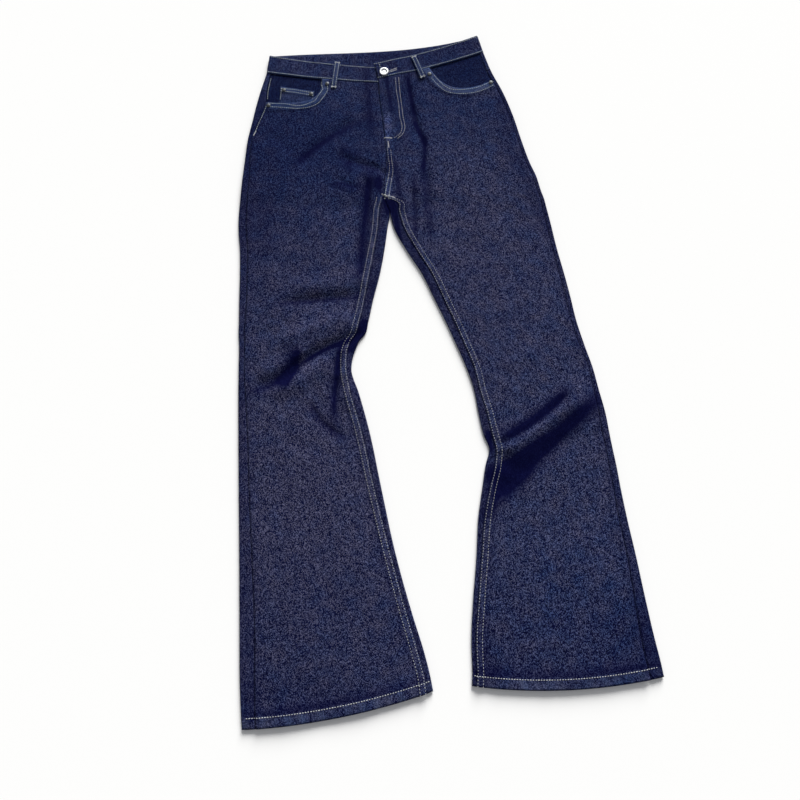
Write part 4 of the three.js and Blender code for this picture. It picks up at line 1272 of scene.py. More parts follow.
def backPocket(spec):
    # a thin plate of cloth with rounded edges, from its underside to the seat it is sewn to
    thickness = cloth["seatLift"] - cloth["gap"]
    rings = [(0, thickness, 1), (0, 0.55, 1), (0.25, 0.15, 1), (0.8, 0, 1), (8, 0, 1)]
    rings += [(8, 0.12, 0.75), (8, 0.2, 0.4)]  # towards the middle, hollowed a little
    points = []
    for inset, z, share in rings:
        x, y = placed(spec, patchOutline(inset) * share)
        points.append(np.column_stack([x, y, np.full(len(x), z)]))
    count = len(points[0])
    points = np.array(points)
    numbers = np.arange(points.size // 3).reshape(points.shape[:2])
    ahead = np.roll(numbers, -1, axis=1)
    faces = np.stack([numbers[:-1], numbers[1:], ahead[1:], ahead[:-1]], -1).reshape(-1, 4).tolist()
    flat = points.reshape(-1, 3)
    below = len(flat)
    above = below + 1
    last = numbers[-1]
    for k in range(count):
        n = (k + 1) % count
        faces.append([int(last[k]), below, int(last[n])])
        faces.append([int(numbers[0][k]), int(numbers[0][n]), above])
    middles = [[spec["x"], spec["y"], 0.2], [spec["x"], spec["y"], thickness]]
    flat = np.concatenate([flat, middles])
    uv = flat[:, :2] * mm
    wear = np.zeros(len(flat))
    wear[: count * 4] = 0.5
    remember(flat, np.array([face for face in faces if len(face) == 4]))
    remember(flat, np.array([face for face in faces if len(face) == 3]))
    return makeMesh("back_pocket_cloth_" + spec["side"], flat, faces, uv, wear=wear)


def turned(name, profile, x, y, z, segments=40):
    # a round piece turned from pairs of radius and height, closed at the axis
    profile = np.array(profile)
    angles = np.arange(segments) * 2 * math.pi / segments
    inner = profile[1:-1]
    ringX = x + inner[:, 0, None] * np.cos(angles)
    ringY = y + inner[:, 0, None] * np.sin(angles)
    ring = np.stack([ringX, ringY, z + inner[:, 1, None] + 0 * angles], -1)
    numbers = np.arange(len(inner) * segments).reshape(len(inner), segments)
    ahead = np.roll(numbers, -1, axis=1)
    faces = np.stack([numbers[:-1], ahead[:-1], ahead[1:], numbers[1:]], -1).reshape(-1, 4).tolist()
    bottom = numbers.size
    top = bottom + 1
    for k in range(segments):
        n = (k + 1) % segments
        faces.append([bottom, int(numbers[0][n]), int(numbers[0][k])])
        faces.append([int(numbers[-1][k]), int(numbers[-1][n]), top])
    ends = [[x, y, z + profile[0][1]], [x, y, z + profile[-1][1]]]
    points = np.concatenate([ring.reshape(-1, 3), ends])
    return makeMesh(name, points, faces)


def seatOf(leg, x, y, radius, level):
    around = np.arange(8) * math.pi / 4
    px = np.concatenate([[x], x + radius * np.cos(around)])
    py = np.concatenate([[y], y + radius * np.sin(around)])
    return float(np.max(level(leg, px, py))) + cloth["gap"]


def coinLevel(leg, x, y):
    station, across = findOnLeg(leg, x, y)
    return topLevel(station, across) + coinPatch["hemRise"]


buttonSpec = dict(
    x=-79,
    y=500,
    radius=8.5,
    profile=[
        [0, 0.1],
        [6.0, 0.1],
        [8.0, 0.45],
        [8.5, 1.1],
        [8.45, 1.7],
        [8.1, 2.3],
        [7.5, 2.75],
        [6.8, 2.92],
        [6.0, 2.9],
        [5.2, 2.65],
        [4.6, 2.2],
        [4.2, 1.7],
        [3.7, 1.4],
        [2.4, 1.3],
        [1.9, 1.5],
        [1.3, 1.75],
        [0, 1.8],
    ],
)
rivetSpec = dict(
    radius=3.8,
    profile=[
        [0, 0.05],
        [3.0, 0.05],
        [3.7, 0.2],
        [3.8, 0.45],
        [3.5, 0.75],
        [2.9, 1.0],
        [2.2, 1.08],
        [1.6, 1.0],
        [1.35, 1.15],
        [1.1, 1.45],
        [0.5, 1.6],
        [0, 1.6],
    ],
)
rivets = [
    dict(name="right_waist", leg=rightLeg, at=[-183, 476], level=topAt),
    dict(name="right_side", leg=rightLeg, at=[-288, 430], level=topAt),
    dict(name="left_waist", leg=leftLeg, at=[4.5, 497], level=topAt),
    dict(name="left_side", leg=leftLeg, at=[117, 479], level=topAt),
    dict(name="coin_outer", leg=rightLeg, at=[-262, 463], level=coinLevel),
    dict(name="coin_inner", leg=rightLeg, at=[-211.5, 455], level=coinLevel),
]


def finishPiece(piece, nodes, material):
    piece.data.materials.clear()
    piece.data.materials.append(material)
    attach(piece, "root")
    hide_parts(*nodes)
    return piece


# One node of a shader or of Geometry Nodes, with its settings and links.
def node(tree, kind, settings=None, inputs=None):
    made = tree.nodes.new(kind)
    for key, value in (settings or {}).items():
        setattr(made, key, value)
    for key, value in (inputs or {}).items():
        if isinstance(value, bpy.types.NodeSocket):
            tree.links.new(value, made.inputs[key])
        else:
            made.inputs[key].default_value = value
    return made


def linear(hexColour):
    channels = [int(hexColour[k : k + 2], 16) / 255 for k in (1, 3, 5)]
    low = [c / 12.92 if c <= 0.04045 else ((c + 0.055) / 1.055) ** 2.4 for c in channels]
    return (*low, 1)


# Stitches: Geometry Nodes lays a short sunken bead of thread at every step of a row.


def stitchTree():
    tree = bpy.data.node_groups.new("stitches", "GeometryNodeTree")
    sockets = [
        ("Rows", "Geometry"),
        ("Pitch", "Float"),
        ("Length", "Float"),
        ("Width", "Float"),
        ("Height", "Float"),
        ("Turn", "Float"),
        ("Wobble", "Float"),
        ("Seed", "Int"),
        ("Material", "Material"),
    ]
    for name, kind in sockets:
        tree.interface.new_socket(name, in_out="INPUT", socket_type="NodeSocket" + kind)
    tree.interface.new_socket("Stitches", in_out="OUTPUT", socket_type="NodeSocketGeometry")
    given = node(tree, "NodeGroupInput").outputs
    curve = node(tree, "GeometryNodeMeshToCurve", inputs={"Mesh": given["Rows"]})
    spaced = node(
        tree,
        "GeometryNodeResampleCurve",
        {"mode": "LENGTH"},
        {"Curve": curve.outputs["Curve"], "Length": given["Pitch"]},
    )
    facing = node(
        tree, "GeometryNodeInputNamedAttribute", {"data_type": "FLOAT_VECTOR"}, {"Name": "facing"}
    )
    tangent = node(tree, "GeometryNodeInputTangent")
    upright = node(
        tree,
        "FunctionNodeAxesToRotation",
        {"primary_axis": "Z", "secondary_axis": "X"},
        {"Primary Axis": facing.outputs["Attribute"], "Secondary Axis": tangent.outputs["Tangent"]},
    )
    less = node(tree, "ShaderNodeMath", {"operation": "MULTIPLY"}, {0: given["Wobble"], 1: -1.0})
    sway = node(
        tree,
        "FunctionNodeRandomValue",
        {"data_type": "FLOAT"},
        {2: less.outputs[0], 3: given["Wobble"], "Seed": given["Seed"]},
    )
    angle = node(tree, "ShaderNodeMath", inputs={0: given["Turn"], 1: sway.outputs[1]})
    euler = node(tree, "ShaderNodeCombineXYZ", inputs={"Z": angle.outputs[0]})
    spin = node(tree, "FunctionNodeEulerToRotation", inputs={"Euler": euler.outputs[0]})
    turnedOn = node(
        tree,
        "FunctionNodeRotateRotation",
        {"rotation_space": "LOCAL"},
        {"Rotation": upright.outputs[0], "Rotate By": spin.outputs[0]},
    )
    size = node(
        tree,
        "ShaderNodeCombineXYZ",
        inputs={"X": given["Length"], "Y": given["Width"], "Z": given["Height"]},
    )
    vary = node(
        tree, "FunctionNodeRandomValue", {"data_type": "FLOAT"}, {2: 0.86, 3: 1.12, "Seed": given["Seed"]}
    )
    sized = node(
        tree,
        "ShaderNodeVectorMath",
        {"operation": "SCALE"},
        {0: size.outputs[0], "Scale": vary.outputs[1]},
    )
    bead = node(tree, "GeometryNodeMeshUVSphere", inputs={"Segments": 6, "Rings": 4, "Radius": 0.5})
    placedOn = node(
        tree,
        "GeometryNodeInstanceOnPoints",
        inputs={
            "Points": spaced.outputs["Curve"],
            "Instance": bead.outputs["Mesh"],
            "Rotation": turnedOn.outputs[0],
            "Scale": sized.outputs[0],
        },
    )
    real = node(tree, "GeometryNodeRealizeInstances", inputs={"Geometry": placedOn.outputs["Instances"]})
    smooth = node(tree, "GeometryNodeSetShadeSmooth", inputs={"Geometry": real.outputs["Geometry"]})
    painted = node(
        tree,
        "GeometryNodeSetMaterial",
        inputs={"Geometry": smooth.outputs["Geometry"], "Material": given["Material"]},
    )
    node(tree, "NodeGroupOutput", inputs={"Stitches": painted.outputs["Geometry"]})
    return tree


# Sizes of a stitch in millimetres: the spacing, and the bead's length, width and height.
# The topstitch is a heavy jeans thread; a bartack is a dense zigzag across a short bar.
stitchKinds = dict(
    topstitch=dict(pitch=3.8, length=2.9, width=1.4, height=1.1, turn=0, wobble=0.12),
    seamstitch=dict(pitch=4.2, length=2.5, width=1.2, height=0.9, turn=0, wobble=0.15),
    understitch=dict(pitch=3.8, length=2.8, width=1.2, height=0.5, turn=0, wobble=0.12),
    bartack=dict(pitch=0.8, length=3.0, width=0.7, height=0.9, turn=math.pi / 2, wobble=0.12),
    fineTack=dict(pitch=0.9, length=2.2, width=0.7, height=0.8, turn=math.pi / 2, wobble=0.15),
)


# Distances of the twin rows of a seam from its edge, and of the hem row from the hem's fold.
rowsFrom = dict(inseam=(2.2, 9.9), seam=(2.2, 8.5), hem=14)
tackStep = 0.8  # spacing of the points along a short bar
bandRowsAt = (0.07, 0.93)  # shares of the waistband's height
bandSunk = 0.05


def makeThreads(tree, name, rows, kind, material, seed):
    # rows are pairs of points and facings, in millimetres
    points = []
    facings = []
    edges = []
    for path, facing in rows:
        start = len(points)
        points += np.asarray(path).tolist()
        facings += np.asarray(facing).tolist()
        edges += [[start + k, start + k + 1] for k in range(len(path) - 1)]
    mesh = bpy.data.meshes.new(name)
    mesh.from_pydata((np.array(points) * mm).tolist(), edges, [])
    layer = mesh.attributes.new("facing", "FLOAT_VECTOR", "POINT")
    layer.data.foreach_set("vector", np.array(facings, np.float32).ravel())
    piece = addObject(name, mesh)
    modifier = piece.modifiers.new("stitches", "NODES")
    modifier.node_group = tree
    spec = stitchKinds[kind]
    values = {
        "Pitch": spec["pitch"] * mm,
        "Length": spec["length"] * mm,
        "Width": spec["width"] * mm,
        "Height": spec["height"] * mm,
        "Turn": float(spec["turn"]),
        "Wobble": spec["wobble"],
        "Seed": seed,
        "Material": material,
    }
    for item in tree.interface.items_tree:
        if item.in_out == "INPUT" and item.name in values:
            modifier[item.identifier] = values[item.name]
    bake(piece)
    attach(piece, "root")
    return piece


def smoothPath(corners, step=1.6):
    corners = np.array(corners, float)
    run = runAlong(corners)
    count = max(2, int(round(run[-1] / step)) + 1)
    at = np.linspace(0, run[-1], count)
    if len(corners) == 2:
        return corners[0] + (corners[1] - corners[0]) * (at / run[-1])[:, None]
    k = np.clip(np.searchsorted(run, at, side="right") - 1, 0, len(run) - 2)
    t = (at - run[k]) / (run[k + 1] - run[k])
    columns = [curveAt(run, c, slopesOf(run, c), k, t) for c in corners.T]
    return np.stack(columns, -1)


def clothTree():
    points = []
    faces = []
    for piecePoints, pieceFaces in outerSides:
        start = len(points)
        points += piecePoints.tolist()
        faces += (pieceFaces + start).tolist()
    return BVHTree.FromPolygons(points, faces)


def laidOn(tree, path, below=False, sunk=None):
    # the path dropped on the cloth from above, or raised to it from below, where the thread
    # is pressed in so that the underside stays flat
    if sunk is None:
        sunk = 0.2 if below else 0.1
    start = -30 if below else 80
    direction = Vector((0, 0, 1 if below else -1))
    found = []
    normals = []
    for x, y in path:
        hit, normal, _, _ = tree.ray_cast(Vector((x, y, start)), direction)
        if hit is None or (below and hit.z > 4):
            continue  # past the edge, or through a slit between two pieces
        normal = normal if normal.dot(direction) < 0 else -normal
        found.append(list(hit))
        normals.append(list(normal))
    found = np.array(found)
    normals = np.array(normals)
    if len(normals) > 4:
        kernel = np.ones(3) / 3
        padded = np.pad(normals, ((1, 1), (0, 0)), mode="edge")
        normals = np.stack([np.convolve(padded[:, c], kernel, "valid") for c in range(3)], -1)
    normals /= np.linalg.norm(normals, axis=1)[:, None]
    return found - normals * sunk, normals


# Rows of stitches that show on the front, in the plan.
pocketRows = [
    [(-193, 485), (-194, 477), (-191, 466), (-199, 451), (-203, 442), (-214, 435), (-229, 430),
     (-260, 434), (-288, 435)],
    [(-182, 470), (-182, 463), (-186, 453), (-191, 445), (-198, 435), (-213, 427), (-234, 424),
     (-259, 426), (-285, 428)],
    [(14, 494), (21, 484), (32, 472), (44, 465), (67, 464), (90, 468), (108, 476), (121, 483)],
    [(9, 488), (21, 473), (32, 462), (49, 456), (67, 455), (84, 457), (102, 463), (120, 473)],
]
flyRows = [
    [(-58, 487), (-56, 461), (-52, 434), (-50, 407), (-46, 384), (-50, 371), (-59, 364)],
    [(-52, 487), (-50, 461), (-47, 434), (-44, 407), (-41, 384), (-45, 371), (-53, 363)],
]
upperRiseRows = [
    [(-72, 343), (-70, 323), (-68, 305), (-70, 285)],
    [(-66, 338), (-64, 316), (-62, 300), (-64, 283)],
]
riseRows = [
    [(-70.5, 282), (-73, 268), (-76, 244)],
    [(-64.5, 280), (-66.5, 266), (-69, 244)],
]
coinRows = [
    [(-266, 466.5), (-240, 463.5), (-209, 457)],
    [(-266, 461), (-240, 458), (-209, 451.5)],
    [(-208.5, 457), (-209, 446)],
    [(-266.5, 466), (-267.5, 445)],
]
barTacks = [
    [(-78, 363.5), (-64, 362.5)],
    [(-71, 356), (-69.5, 344)],
    [(-308, 378), (-312, 369)],
    [(-81, 252), (-70, 248)],
    [(-70, 250), (-59, 246)],
]
buttonholeRows = [[(-70, 502.4), (-56, 508.4)], [(-71, 499.4), (-56, 505)]]


def inseamRows(leg, away):
    places = placesAlong(leg, leg["crotch"] + 0.1, leg["last"] - 0.02, 3)
    station = stationAt(leg, places)
    across = 1 - (station["inseam"] + away) / station["width"]
    return np.stack(planPoint(station, across), -1)


def hemRow(leg, up, start, end):
    station = stationAt(leg, placeAt(leg, leg["places"][-1] - up))
    return np.stack(planPoint(station, np.linspace(start, end, 120)), -1)


def sideRow(leg, away, fromY, toY):
    y = np.linspace(fromY, toY, 40)
    station, _ = findOnLeg(leg, leg["columns"]["outX"][4] + 0 * y, y)
    across = (station["outseam"] + away) / station["width"]
    return np.stack(planPoint(station, across), -1)


def bandRow(height):
    foot, up, out, _ = bandFrames()
    return foot + up * height - out * bandSunk, out


def yokeSeam(leg):
    station = stationAt(leg, yokePlaces(leg)[underStart : underEnd + 1])
    t = np.linspace(0, 1, backParts[2][1] + 1)
    x, y, _ = underside(leg, station, t)
    return np.stack([x, y], -1)[2:]


def seatSeam():
    y = np.linspace(455, 232, 90)
    top = backSeamY(backSeam["centreX"])
    down = (top - y) / (top - forkY)
    x = mix(backSeam["centreX"], rightLeg["columns"]["inX"][rightLeg["fork"]], down)
    return np.stack([x, y], -1)


def patchRow(spec, inset):
    outline = patchOutline(inset)
    order = np.roll(outline, -int(np.argmax(outline[:, 0] + outline[:, 1])), axis=0)
    # down one side, along the point and up the other
    x, y = placed(spec, np.concatenate([order[:1], order[:0:-1]]))
    return smoothStraight(np.stack([x, y], -1))


def smoothStraight(corners, step=1.6):
    run = runAlong(corners)
    at = np.linspace(0, run[-1], int(run[-1] / step) + 2)
    return np.stack([np.interp(at, run, corners[:, k]) for k in (0, 1)], -1)


def loopRows(spec):
    # two edge rows down a front belt loop, and the bartacks across its ends
    top = np.array(spec["top"], float)
    bottom = np.array(spec["bottom"], float)
    ahead = (bottom - top) / np.linalg.norm(bottom - top)
    aside = np.array([-ahead[1], ahead[0]])
    rows = []
    for side in (-loops["rowAside"], loops["rowAside"]):
        rows.append(smoothPath([top + aside * side + ahead, bottom + aside * side - ahead]))
    tacks = []
    reach = aside * loops["tackReach"]
    for middle in (top + ahead * 3, bottom - ahead * 2.5):
        tacks.append(smoothPath([middle - reach, middle + reach], tackStep))
    return rows, tacks


def backLoopRows(spec):
    seamY = float(backSeamY(spec["x"]))
    top = [spec["x"], seamY + backLoopTop]
    bottom = [spec["x"], seamY + (backLoopTop - backLoopLength)]
    return loopRows(dict(top=top, bottom=bottom))


# Materials. Every colour is the one seen by eye.
indigo = dict(
    base="#0c1137",
    light="#61627f",  # single paler yarns that surface
    dark="#01021a",
    # the colours that strong dye and painted shade go towards
    deep="#020328",
    deepLight="#0d113a",
    teal="#aed8ff",  # the two casts of the dye, laid over the rest
    purple="#ffffff",
    worn="#666b85",
)


def emptyMaterial(name):
    material = bpy.data.materials.new(name)
    material.use_nodes = True
    material.node_tree.nodes.clear()
    return material, material.node_tree


def clothMaterial(name, colours, depth=1.0):
    material, tree = emptyMaterial(name)
    uv = node(tree, "ShaderNodeUVMap", {"uv_map": "cloth"}).outputs["UV"]
    wear = node(tree, "ShaderNodeAttribute", {"attribute_name": "wear"}).outputs["Fac"]
    # each float of warp yarn is dyed a little differently; the real floats are 0.6 mm wide, and
    # the cells drawn for them are a little larger, so that they don't vanish
    slant = node(
        tree,
        "ShaderNodeMapping",
        inputs={"Vector": uv, "Rotation": (0, 0, math.radians(30)), "Scale": (1.15, 0.8, 1)},
    )
    fleck = node(
        tree,
        "ShaderNodeTexVoronoi",
        {"voronoi_dimensions": "2D"},
        {"Vector": slant.outputs[0], "Scale": 1150.0},
    )
    fleck = node(tree, "ShaderNodeSeparateColor", inputs={"Color": fleck.outputs["Color"]})
    # slubs: uneven yarns that run up and down the cloth
    upright = node(tree, "ShaderNodeMapping", inputs={"Vector": uv, "Scale": (1, 0.3, 1)})
    slub = node(
        tree,
        "ShaderNodeTexNoise",
        {"noise_dimensions": "2D"},
        {"Vector": upright.outputs[0], "Scale": 420.0, "Detail": 1.5, "Roughness": 0.6},
    )
    # uneven dye in soft patches a few centimetres across
    patchy = node(
        tree,
        "ShaderNodeTexNoise",
        {"noise_dimensions": "2D"},
        {"Vector": uv, "Scale": 42.0, "Detail": 1.0, "Roughness": 0.5},
    )
    green = node(tree, "ShaderNodeAttribute", {"attribute_name": "green"}).outputs["Fac"]
    leaning = node(
        tree,
        "ShaderNodeMath",
        {"operation": "MULTIPLY_ADD"},
        {0: green, 1: -0.3, 2: patchy.outputs["Fac"]},
    )
    hue = node(
        tree, "ShaderNodeMapRange", inputs={"Value": leaning.outputs[0], "From Min": 0.0, "From Max": 0.8}
    )
    dye = node(
        tree,
        "ShaderNodeMix",
        {"data_type": "RGBA"},
        {0: hue.outputs[0], 6: linear(colours["teal"]), 7: linear(colours["purple"])},
    )
    mixed = node(
        tree, "ShaderNodeMath", {"operation": "MULTIPLY_ADD"}, {0: slub.outputs["Fac"], 1: 0.2, 2: -0.1}
    )
    both = node(tree, "ShaderNodeMath", inputs={0: fleck.outputs[0], 1: mixed.outputs[0]})
    bright = node(
        tree,
        "ShaderNodeMapRange",
        inputs={"Value": both.outputs[0], "From Min": 0.52, "From Max": 0.95, "To Max": 1.0},
    )
    dim = node(
        tree,
        "ShaderNodeMapRange",
        inputs={"Value": both.outputs[0], "From Min": 0.5, "From Max": 0.1, "To Max": 1.0},
    )
    flecked = node(
        tree,
        "ShaderNodeMix",
        {"data_type": "RGBA"},
        {0: bright.outputs[0], 6: linear(colours["base"]), 7: linear(colours["light"])},
    )
    yarns = node(
        tree,
        "ShaderNodeMix",
        {"data_type": "RGBA"},
        {0: dim.outputs[0], 6: flecked.outputs[2], 7: linear(colours["dark"])},
    )
    # raised seams and edges rub paler, unevenly
    rub = node(tree, "ShaderNodeMath", {"operation": "MULTIPLY"}, {0: wear, 1: fleck.outputs[1]})
    rubbed = node(tree, "ShaderNodeMath", {"operation": "MULTIPLY"}, {0: rub.outputs[0], 1: 1.1})
    colour = node(
        tree,
        "ShaderNodeMix",
        {"data_type": "RGBA"},
        {0: rubbed.outputs[0], 6: yarns.outputs[2], 7: linear(colours["worn"])},
    )
    dyed = node(
        tree,
        "ShaderNodeMix",
        {"data_type": "RGBA", "blend_type": "MULTIPLY"},
        {0: 1.0, 6: colour.outputs[2], 7: dye.outputs[2]},
    )
    # the shade attribute is the dye's tone together with painted shade
    shade = node(tree, "ShaderNodeAttribute", {"attribute_name": "shade"}).outputs["Fac"]
    strength = node(
        tree,
        "ShaderNodeMapRange",
        inputs={"Value": shade, "From Min": -1.25, "From Max": 1.0, "To Min": 0.0, "To Max": 1.8},
    )
    # where the dye or the painted shade is strong the cloth goes deep blue rather than black
    deepYarns = node(
        tree,
        "ShaderNodeMix",
        {"data_type": "RGBA"},
        {0: bright.outputs[0], 6: linear(colours["deep"]), 7: linear(colours["deepLight"])},
    )
    deeper = node(
        tree,
        "ShaderNodeMix",
        {"data_type": "RGBA"},
        {0: strength.outputs[0], 6: deepYarns.outputs[2], 7: dyed.outputs[2]},
    )
    paler = node(tree, "ShaderNodeMath", {"operation": "MAXIMUM"}, {0: strength.outputs[0], 1: 1.0})
    toned = node(
        tree,
        "ShaderNodeVectorMath",
        {"operation": "SCALE"},
        {0: deeper.outputs[2], "Scale": paler.outputs[0]},
    )
    height = node(
        tree,
        "ShaderNodeBump",
        inputs={"Strength": 0.55 * depth, "Distance": 0.0007, "Height": both.outputs[0]},
    )
    shader = node(
        tree,
        "ShaderNodeBsdfPrincipled",
        inputs={
            "Base Color": toned.outputs[0],
            "Roughness": 0.95,
            "Specular IOR Level": 0.04,
            "Sheen Weight": 0.01,
            "Sheen Roughness": 0.6,
            "Sheen Tint": linear("#8a8fb4"),
            "Normal": height.outputs[0],
        },
    )
    node(tree, "ShaderNodeOutputMaterial", inputs={"Surface": shader.outputs[0]})
    return material


def threadMaterial(name, colour):
    material, tree = emptyMaterial(name)
    where = node(tree, "ShaderNodeTexCoord").outputs["Object"]
    uneven = node(tree, "ShaderNodeTexNoise", inputs={"Vector": where, "Scale": 160.0, "Detail": 1.0})
    tone = node(
        tree,
        "ShaderNodeMapRange",
        inputs={"Value": uneven.outputs["Fac"], "From Min": 0.3, "From Max": 0.7},
    )
    darker = linear(colour)
    darker = (*[c * 0.6 for c in darker[:3]], 1)
    dyed = node(
        tree, "ShaderNodeMix", {"data_type": "RGBA"}, {0: tone.outputs[0], 6: darker, 7: linear(colour)}
    )
    shader = node(
        tree,
        "ShaderNodeBsdfPrincipled",
        inputs={
            "Base Color": dyed.outputs[2],
            "Roughness": 0.7,
            "Specular IOR Level": 0.3,
            "Sheen Weight": 0.2,
        },
    )
    node(tree, "ShaderNodeOutputMaterial", inputs={"Surface": shader.outputs[0]})
    return material


def metalMaterial(name, colour, roughness):
    material, tree = emptyMaterial(name)
    where = node(tree, "ShaderNodeTexCoord").outputs["Object"]
    scuffs = node(tree, "ShaderNodeTexNoise", inputs={"Vector": where, "Scale": 900.0})
    rough = node(
        tree,
        "ShaderNodeMapRange",
        inputs={"Value": scuffs.outputs["Fac"], "To Min": roughness - 0.08, "To Max": roughness + 0.12},
    )
    shader = node(
        tree,
        "ShaderNodeBsdfPrincipled",
        inputs={"Base Color": linear(colour), "Metallic": 1.0, "Roughness": rough.outputs[0]},
    )
    node(tree, "ShaderNodeOutputMaterial", inputs={"Surface": shader.outputs[0]})
    return material


# Raw indigo twill, dyed unevenly in the yarn: near black from afar, flecked violet close to.
denim = clothMaterial("raw_indigo_ring_spun_denim_twill", indigo)
# The same cloth inside the pockets, darker and bluer.
facingColours = dict(indigo, base="#070c30", light="#303a58", dark="#010216", worn="#30384f")
facingDenim = clothMaterial("raw_indigo_denim_pocket_facing", facingColours, 0.8)
# Dull cotton thread in a soft twist: it gives a broken pale line, never a sharp white one.
threadGrey = threadMaterial("cotton_topstitch_thread_sage_grey", "#b4c0c2")
threadPale = threadMaterial("cotton_topstitch_thread_stone", "#c2c4c9")
threadDull = threadMaterial("cotton_topstitch_thread_dulled", "#b0b2b6")
threadBright = threadMaterial("cotton_bartack_thread_ecru", "#d4d6da")
# Nickel plating with a brushed wear: a soft bright ring round a greyer middle.
nickel = metalMaterial("nickel_plated_brass", "#d6d7da", 0.42)
# The rivets are left to tarnish: dark, with one small glint.
tarnished = metalMaterial("tarnished_brass", "#4d4f52", 0.4)
print("materials made")

# Pieces.
for leg in (rightLeg, leftLeg):
    side = leg["side"]
    under = "back_panel_" + side
    panels = [
        (frontPanel, "front_", "denim", denim, "front", under),
        (backPanel, "back_", "denim", denim, "back", "surface"),
        (yoke, "yoke_", "denim", denim, "yoke", "surface"),
        (facing, "pocket_facing_", "denim_facing", facingDenim, "facing", under),
    ]
    for make, solid, slotName, material, cut, rests in panels:
        panel = make(leg)
        thicken(panel, cloth["denim"])
        finishPiece(panel, [solid + side], material)
        print(panel.name, len(panel.data.polygons), "faces")
small = coinPocket()
thicken(small, cloth["denim"])
finishPiece(small, ["coin_pocket"], denim)
finishPiece(waistband(), ["waistband"], denim)
print("panels made")

for spec in frontLoops:
    piece = frontLoop(spec)
    nodes = ["belt_loop_front_" + spec["side"]]
    finishPiece(piece, nodes, denim)
for spec in backLoops:
    finishPiece(backLoop(spec), ["belt_loop_" + spec["side"]], denim)
for spec in backPockets:
    finishPiece(backPocket(spec), ["back_pocket_" + spec["side"]], denim)

seat = seatOf(leftLeg, buttonSpec["x"], buttonSpec["y"], buttonSpec["radius"], topAt)
button = turned("jeans_button", buttonSpec["profile"], buttonSpec["x"], buttonSpec["y"], seat)
finishPiece(button, ["button"], nickel)
for spec in rivets:
    x, y = spec["at"]
    seat = seatOf(spec["leg"], x, y, rivetSpec["radius"], spec["level"])
    stud = turned("pocket_rivet_" + spec["name"], rivetSpec["profile"], x, y, seat, 28)
    finishPiece(stud, ["rivet_" + spec["name"]], tarnished)
print("trim made")

# Threads.
laid = clothTree()
stitches = stitchTree()
seamRows = []
hemRows = []
underRows = []
for leg in (rightLeg, leftLeg):
    for away in rowsFrom["inseam"]:
        seamRows.append(laidOn(laid, inseamRows(leg, away)))
    hemRows.append(laidOn(laid, hemRow(leg, rowsFrom["hem"], 0.03, 0.985)))
    underRows.append(laidOn(laid, hemRow(leg, rowsFrom["hem"], 0.02, 0.98), below=True))
seamRows += [laidOn(laid, smoothPath(row)) for row in upperRiseRows]
makeThreads(stitches, "stitches_inseam", seamRows, "seamstitch", threadDull, 1)
makeThreads(stitches, "stitches_hem", hemRows, "topstitch", threadPale, 2)

flyThreads = [laidOn(laid, smoothPath(row)) for row in flyRows]
makeThreads(stitches, "stitches_fly", flyThreads, "topstitch", threadDull, 9)
frontRows = [laidOn(laid, smoothPath(row)) for row in pocketRows + riseRows + coinRows]
frontRows.append(laidOn(laid, sideRow(rightLeg, 2, 430, 376)))
frontRows.append(laidOn(laid, sideRow(rightLeg, 2, 494, 450)))
makeThreads(stitches, "stitches_front", frontRows, "topstitch", threadGrey, 3)

bandRows = [bandRow(height) for height in bandRowsAt]
# and a row across the end of the tab
foot, up, out = [part[-4] for part in bandFrames()[:3]]
heights = np.linspace(*bandRowsAt, 20)[:, None]
bandRows.append((foot + up * heights - out * bandSunk, np.tile(out, (len(heights), 1))))
makeThreads(stitches, "stitches_waistband", bandRows, "topstitch", threadGrey, 4)

underPaths = [yokeSeam(leg) + [0, away] for leg in (rightLeg, leftLeg) for away in rowsFrom["seam"]]
underPaths += [seatSeam() + [away, 0] for away in rowsFrom["seam"]]
underPaths += [patchRow(spec, away) for spec in backPockets for away in rowsFrom["seam"]]
underRows += [laidOn(laid, path, below=True) for path in underPaths]

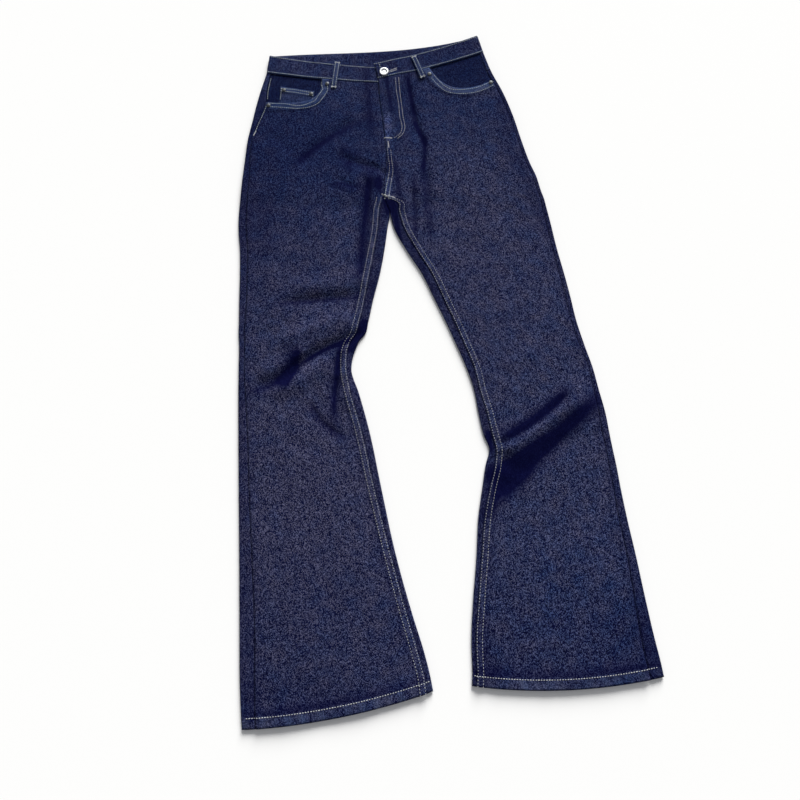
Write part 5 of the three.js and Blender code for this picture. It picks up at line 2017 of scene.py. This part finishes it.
loopEdges = []
tackRows = [laidOn(laid, smoothPath(row, tackStep)) for row in barTacks]
for spec in frontLoops:
    edges, tacks = loopRows(spec)
    loopEdges += [laidOn(laid, row) for row in edges]
    tackRows += [laidOn(laid, row) for row in tacks]
for spec in backLoops:
    edges, tacks = backLoopRows(spec)
    underRows += [laidOn(laid, row, below=True) for row in edges]
    tackRows += [laidOn(laid, row, below=True, sunk=0.4) for row in tacks]
makeThreads(stitches, "stitches_under", underRows, "understitch", threadGrey, 5)
makeThreads(stitches, "stitches_loops", loopEdges, "topstitch", threadGrey, 6)
makeThreads(stitches, "stitches_bartacks", tackRows, "bartack", threadBright, 7)
holeRows = [laidOn(laid, smoothPath(row, tackStep)) for row in buttonholeRows]
makeThreads(stitches, "stitches_buttonhole", holeRows, "fineTack", threadBright, 8)
print("threads made")

# Floor, light and camera.
floorMaterial = bpy.data.materials.new("matt_white_paper")
floorMaterial.use_nodes = True
paper = floorMaterial.node_tree.nodes["Principled BSDF"]
paper.inputs["Base Color"].default_value = linear("#fafafa")
paper.inputs["Roughness"].default_value = 0.9
paper.inputs["Specular IOR Level"].default_value = 0.1
floorMesh = bpy.data.meshes.new("floor")
reach = 6.0
floorZ = -0.0006
signs = [(-1, -1), (1, -1), (1, 1), (-1, 1)]
floorMesh.from_pydata([(x * reach, y * reach, floorZ) for x, y in signs], [], [(0, 1, 2, 3)])
floorMesh.materials.append(floorMaterial)
floor = addObject("floor", floorMesh)

# One large far softbox, low over the waist, so that the creases show.
key = bpy.data.lights.new("key", "SUN")
key.energy = 5.3
key.angle = math.radians(34)
key.color = linear("#fffefb")[:3]
lamp = addObject("key", key)
towards = Vector((-0.22, -0.88, -0.44))
lamp.rotation_euler = towards.to_track_quat("-Z", "Y").to_euler()
world = bpy.data.worlds.new("studio")
world.use_nodes = True
world.node_tree.nodes["Background"].inputs["Color"].default_value = linear("#f4f6fa")
world.node_tree.nodes["Background"].inputs["Strength"].default_value = 0.33
bpy.context.scene.world = world
bpy.context.scene.view_settings.view_transform = "Standard"

lens = bpy.data.cameras.new("camera")
lens.lens = 33.8
lens.sensor_width = 36
lens.shift_y = -0.10125
lens.clip_start = 0.05
lens.dof.use_dof = False
camera = addObject("camera", lens)
camera.location = (-0.0496, -0.3589, 1.185)
camera.rotation_euler = (math.radians(18), 0, 0)
bpy.context.scene.camera = camera
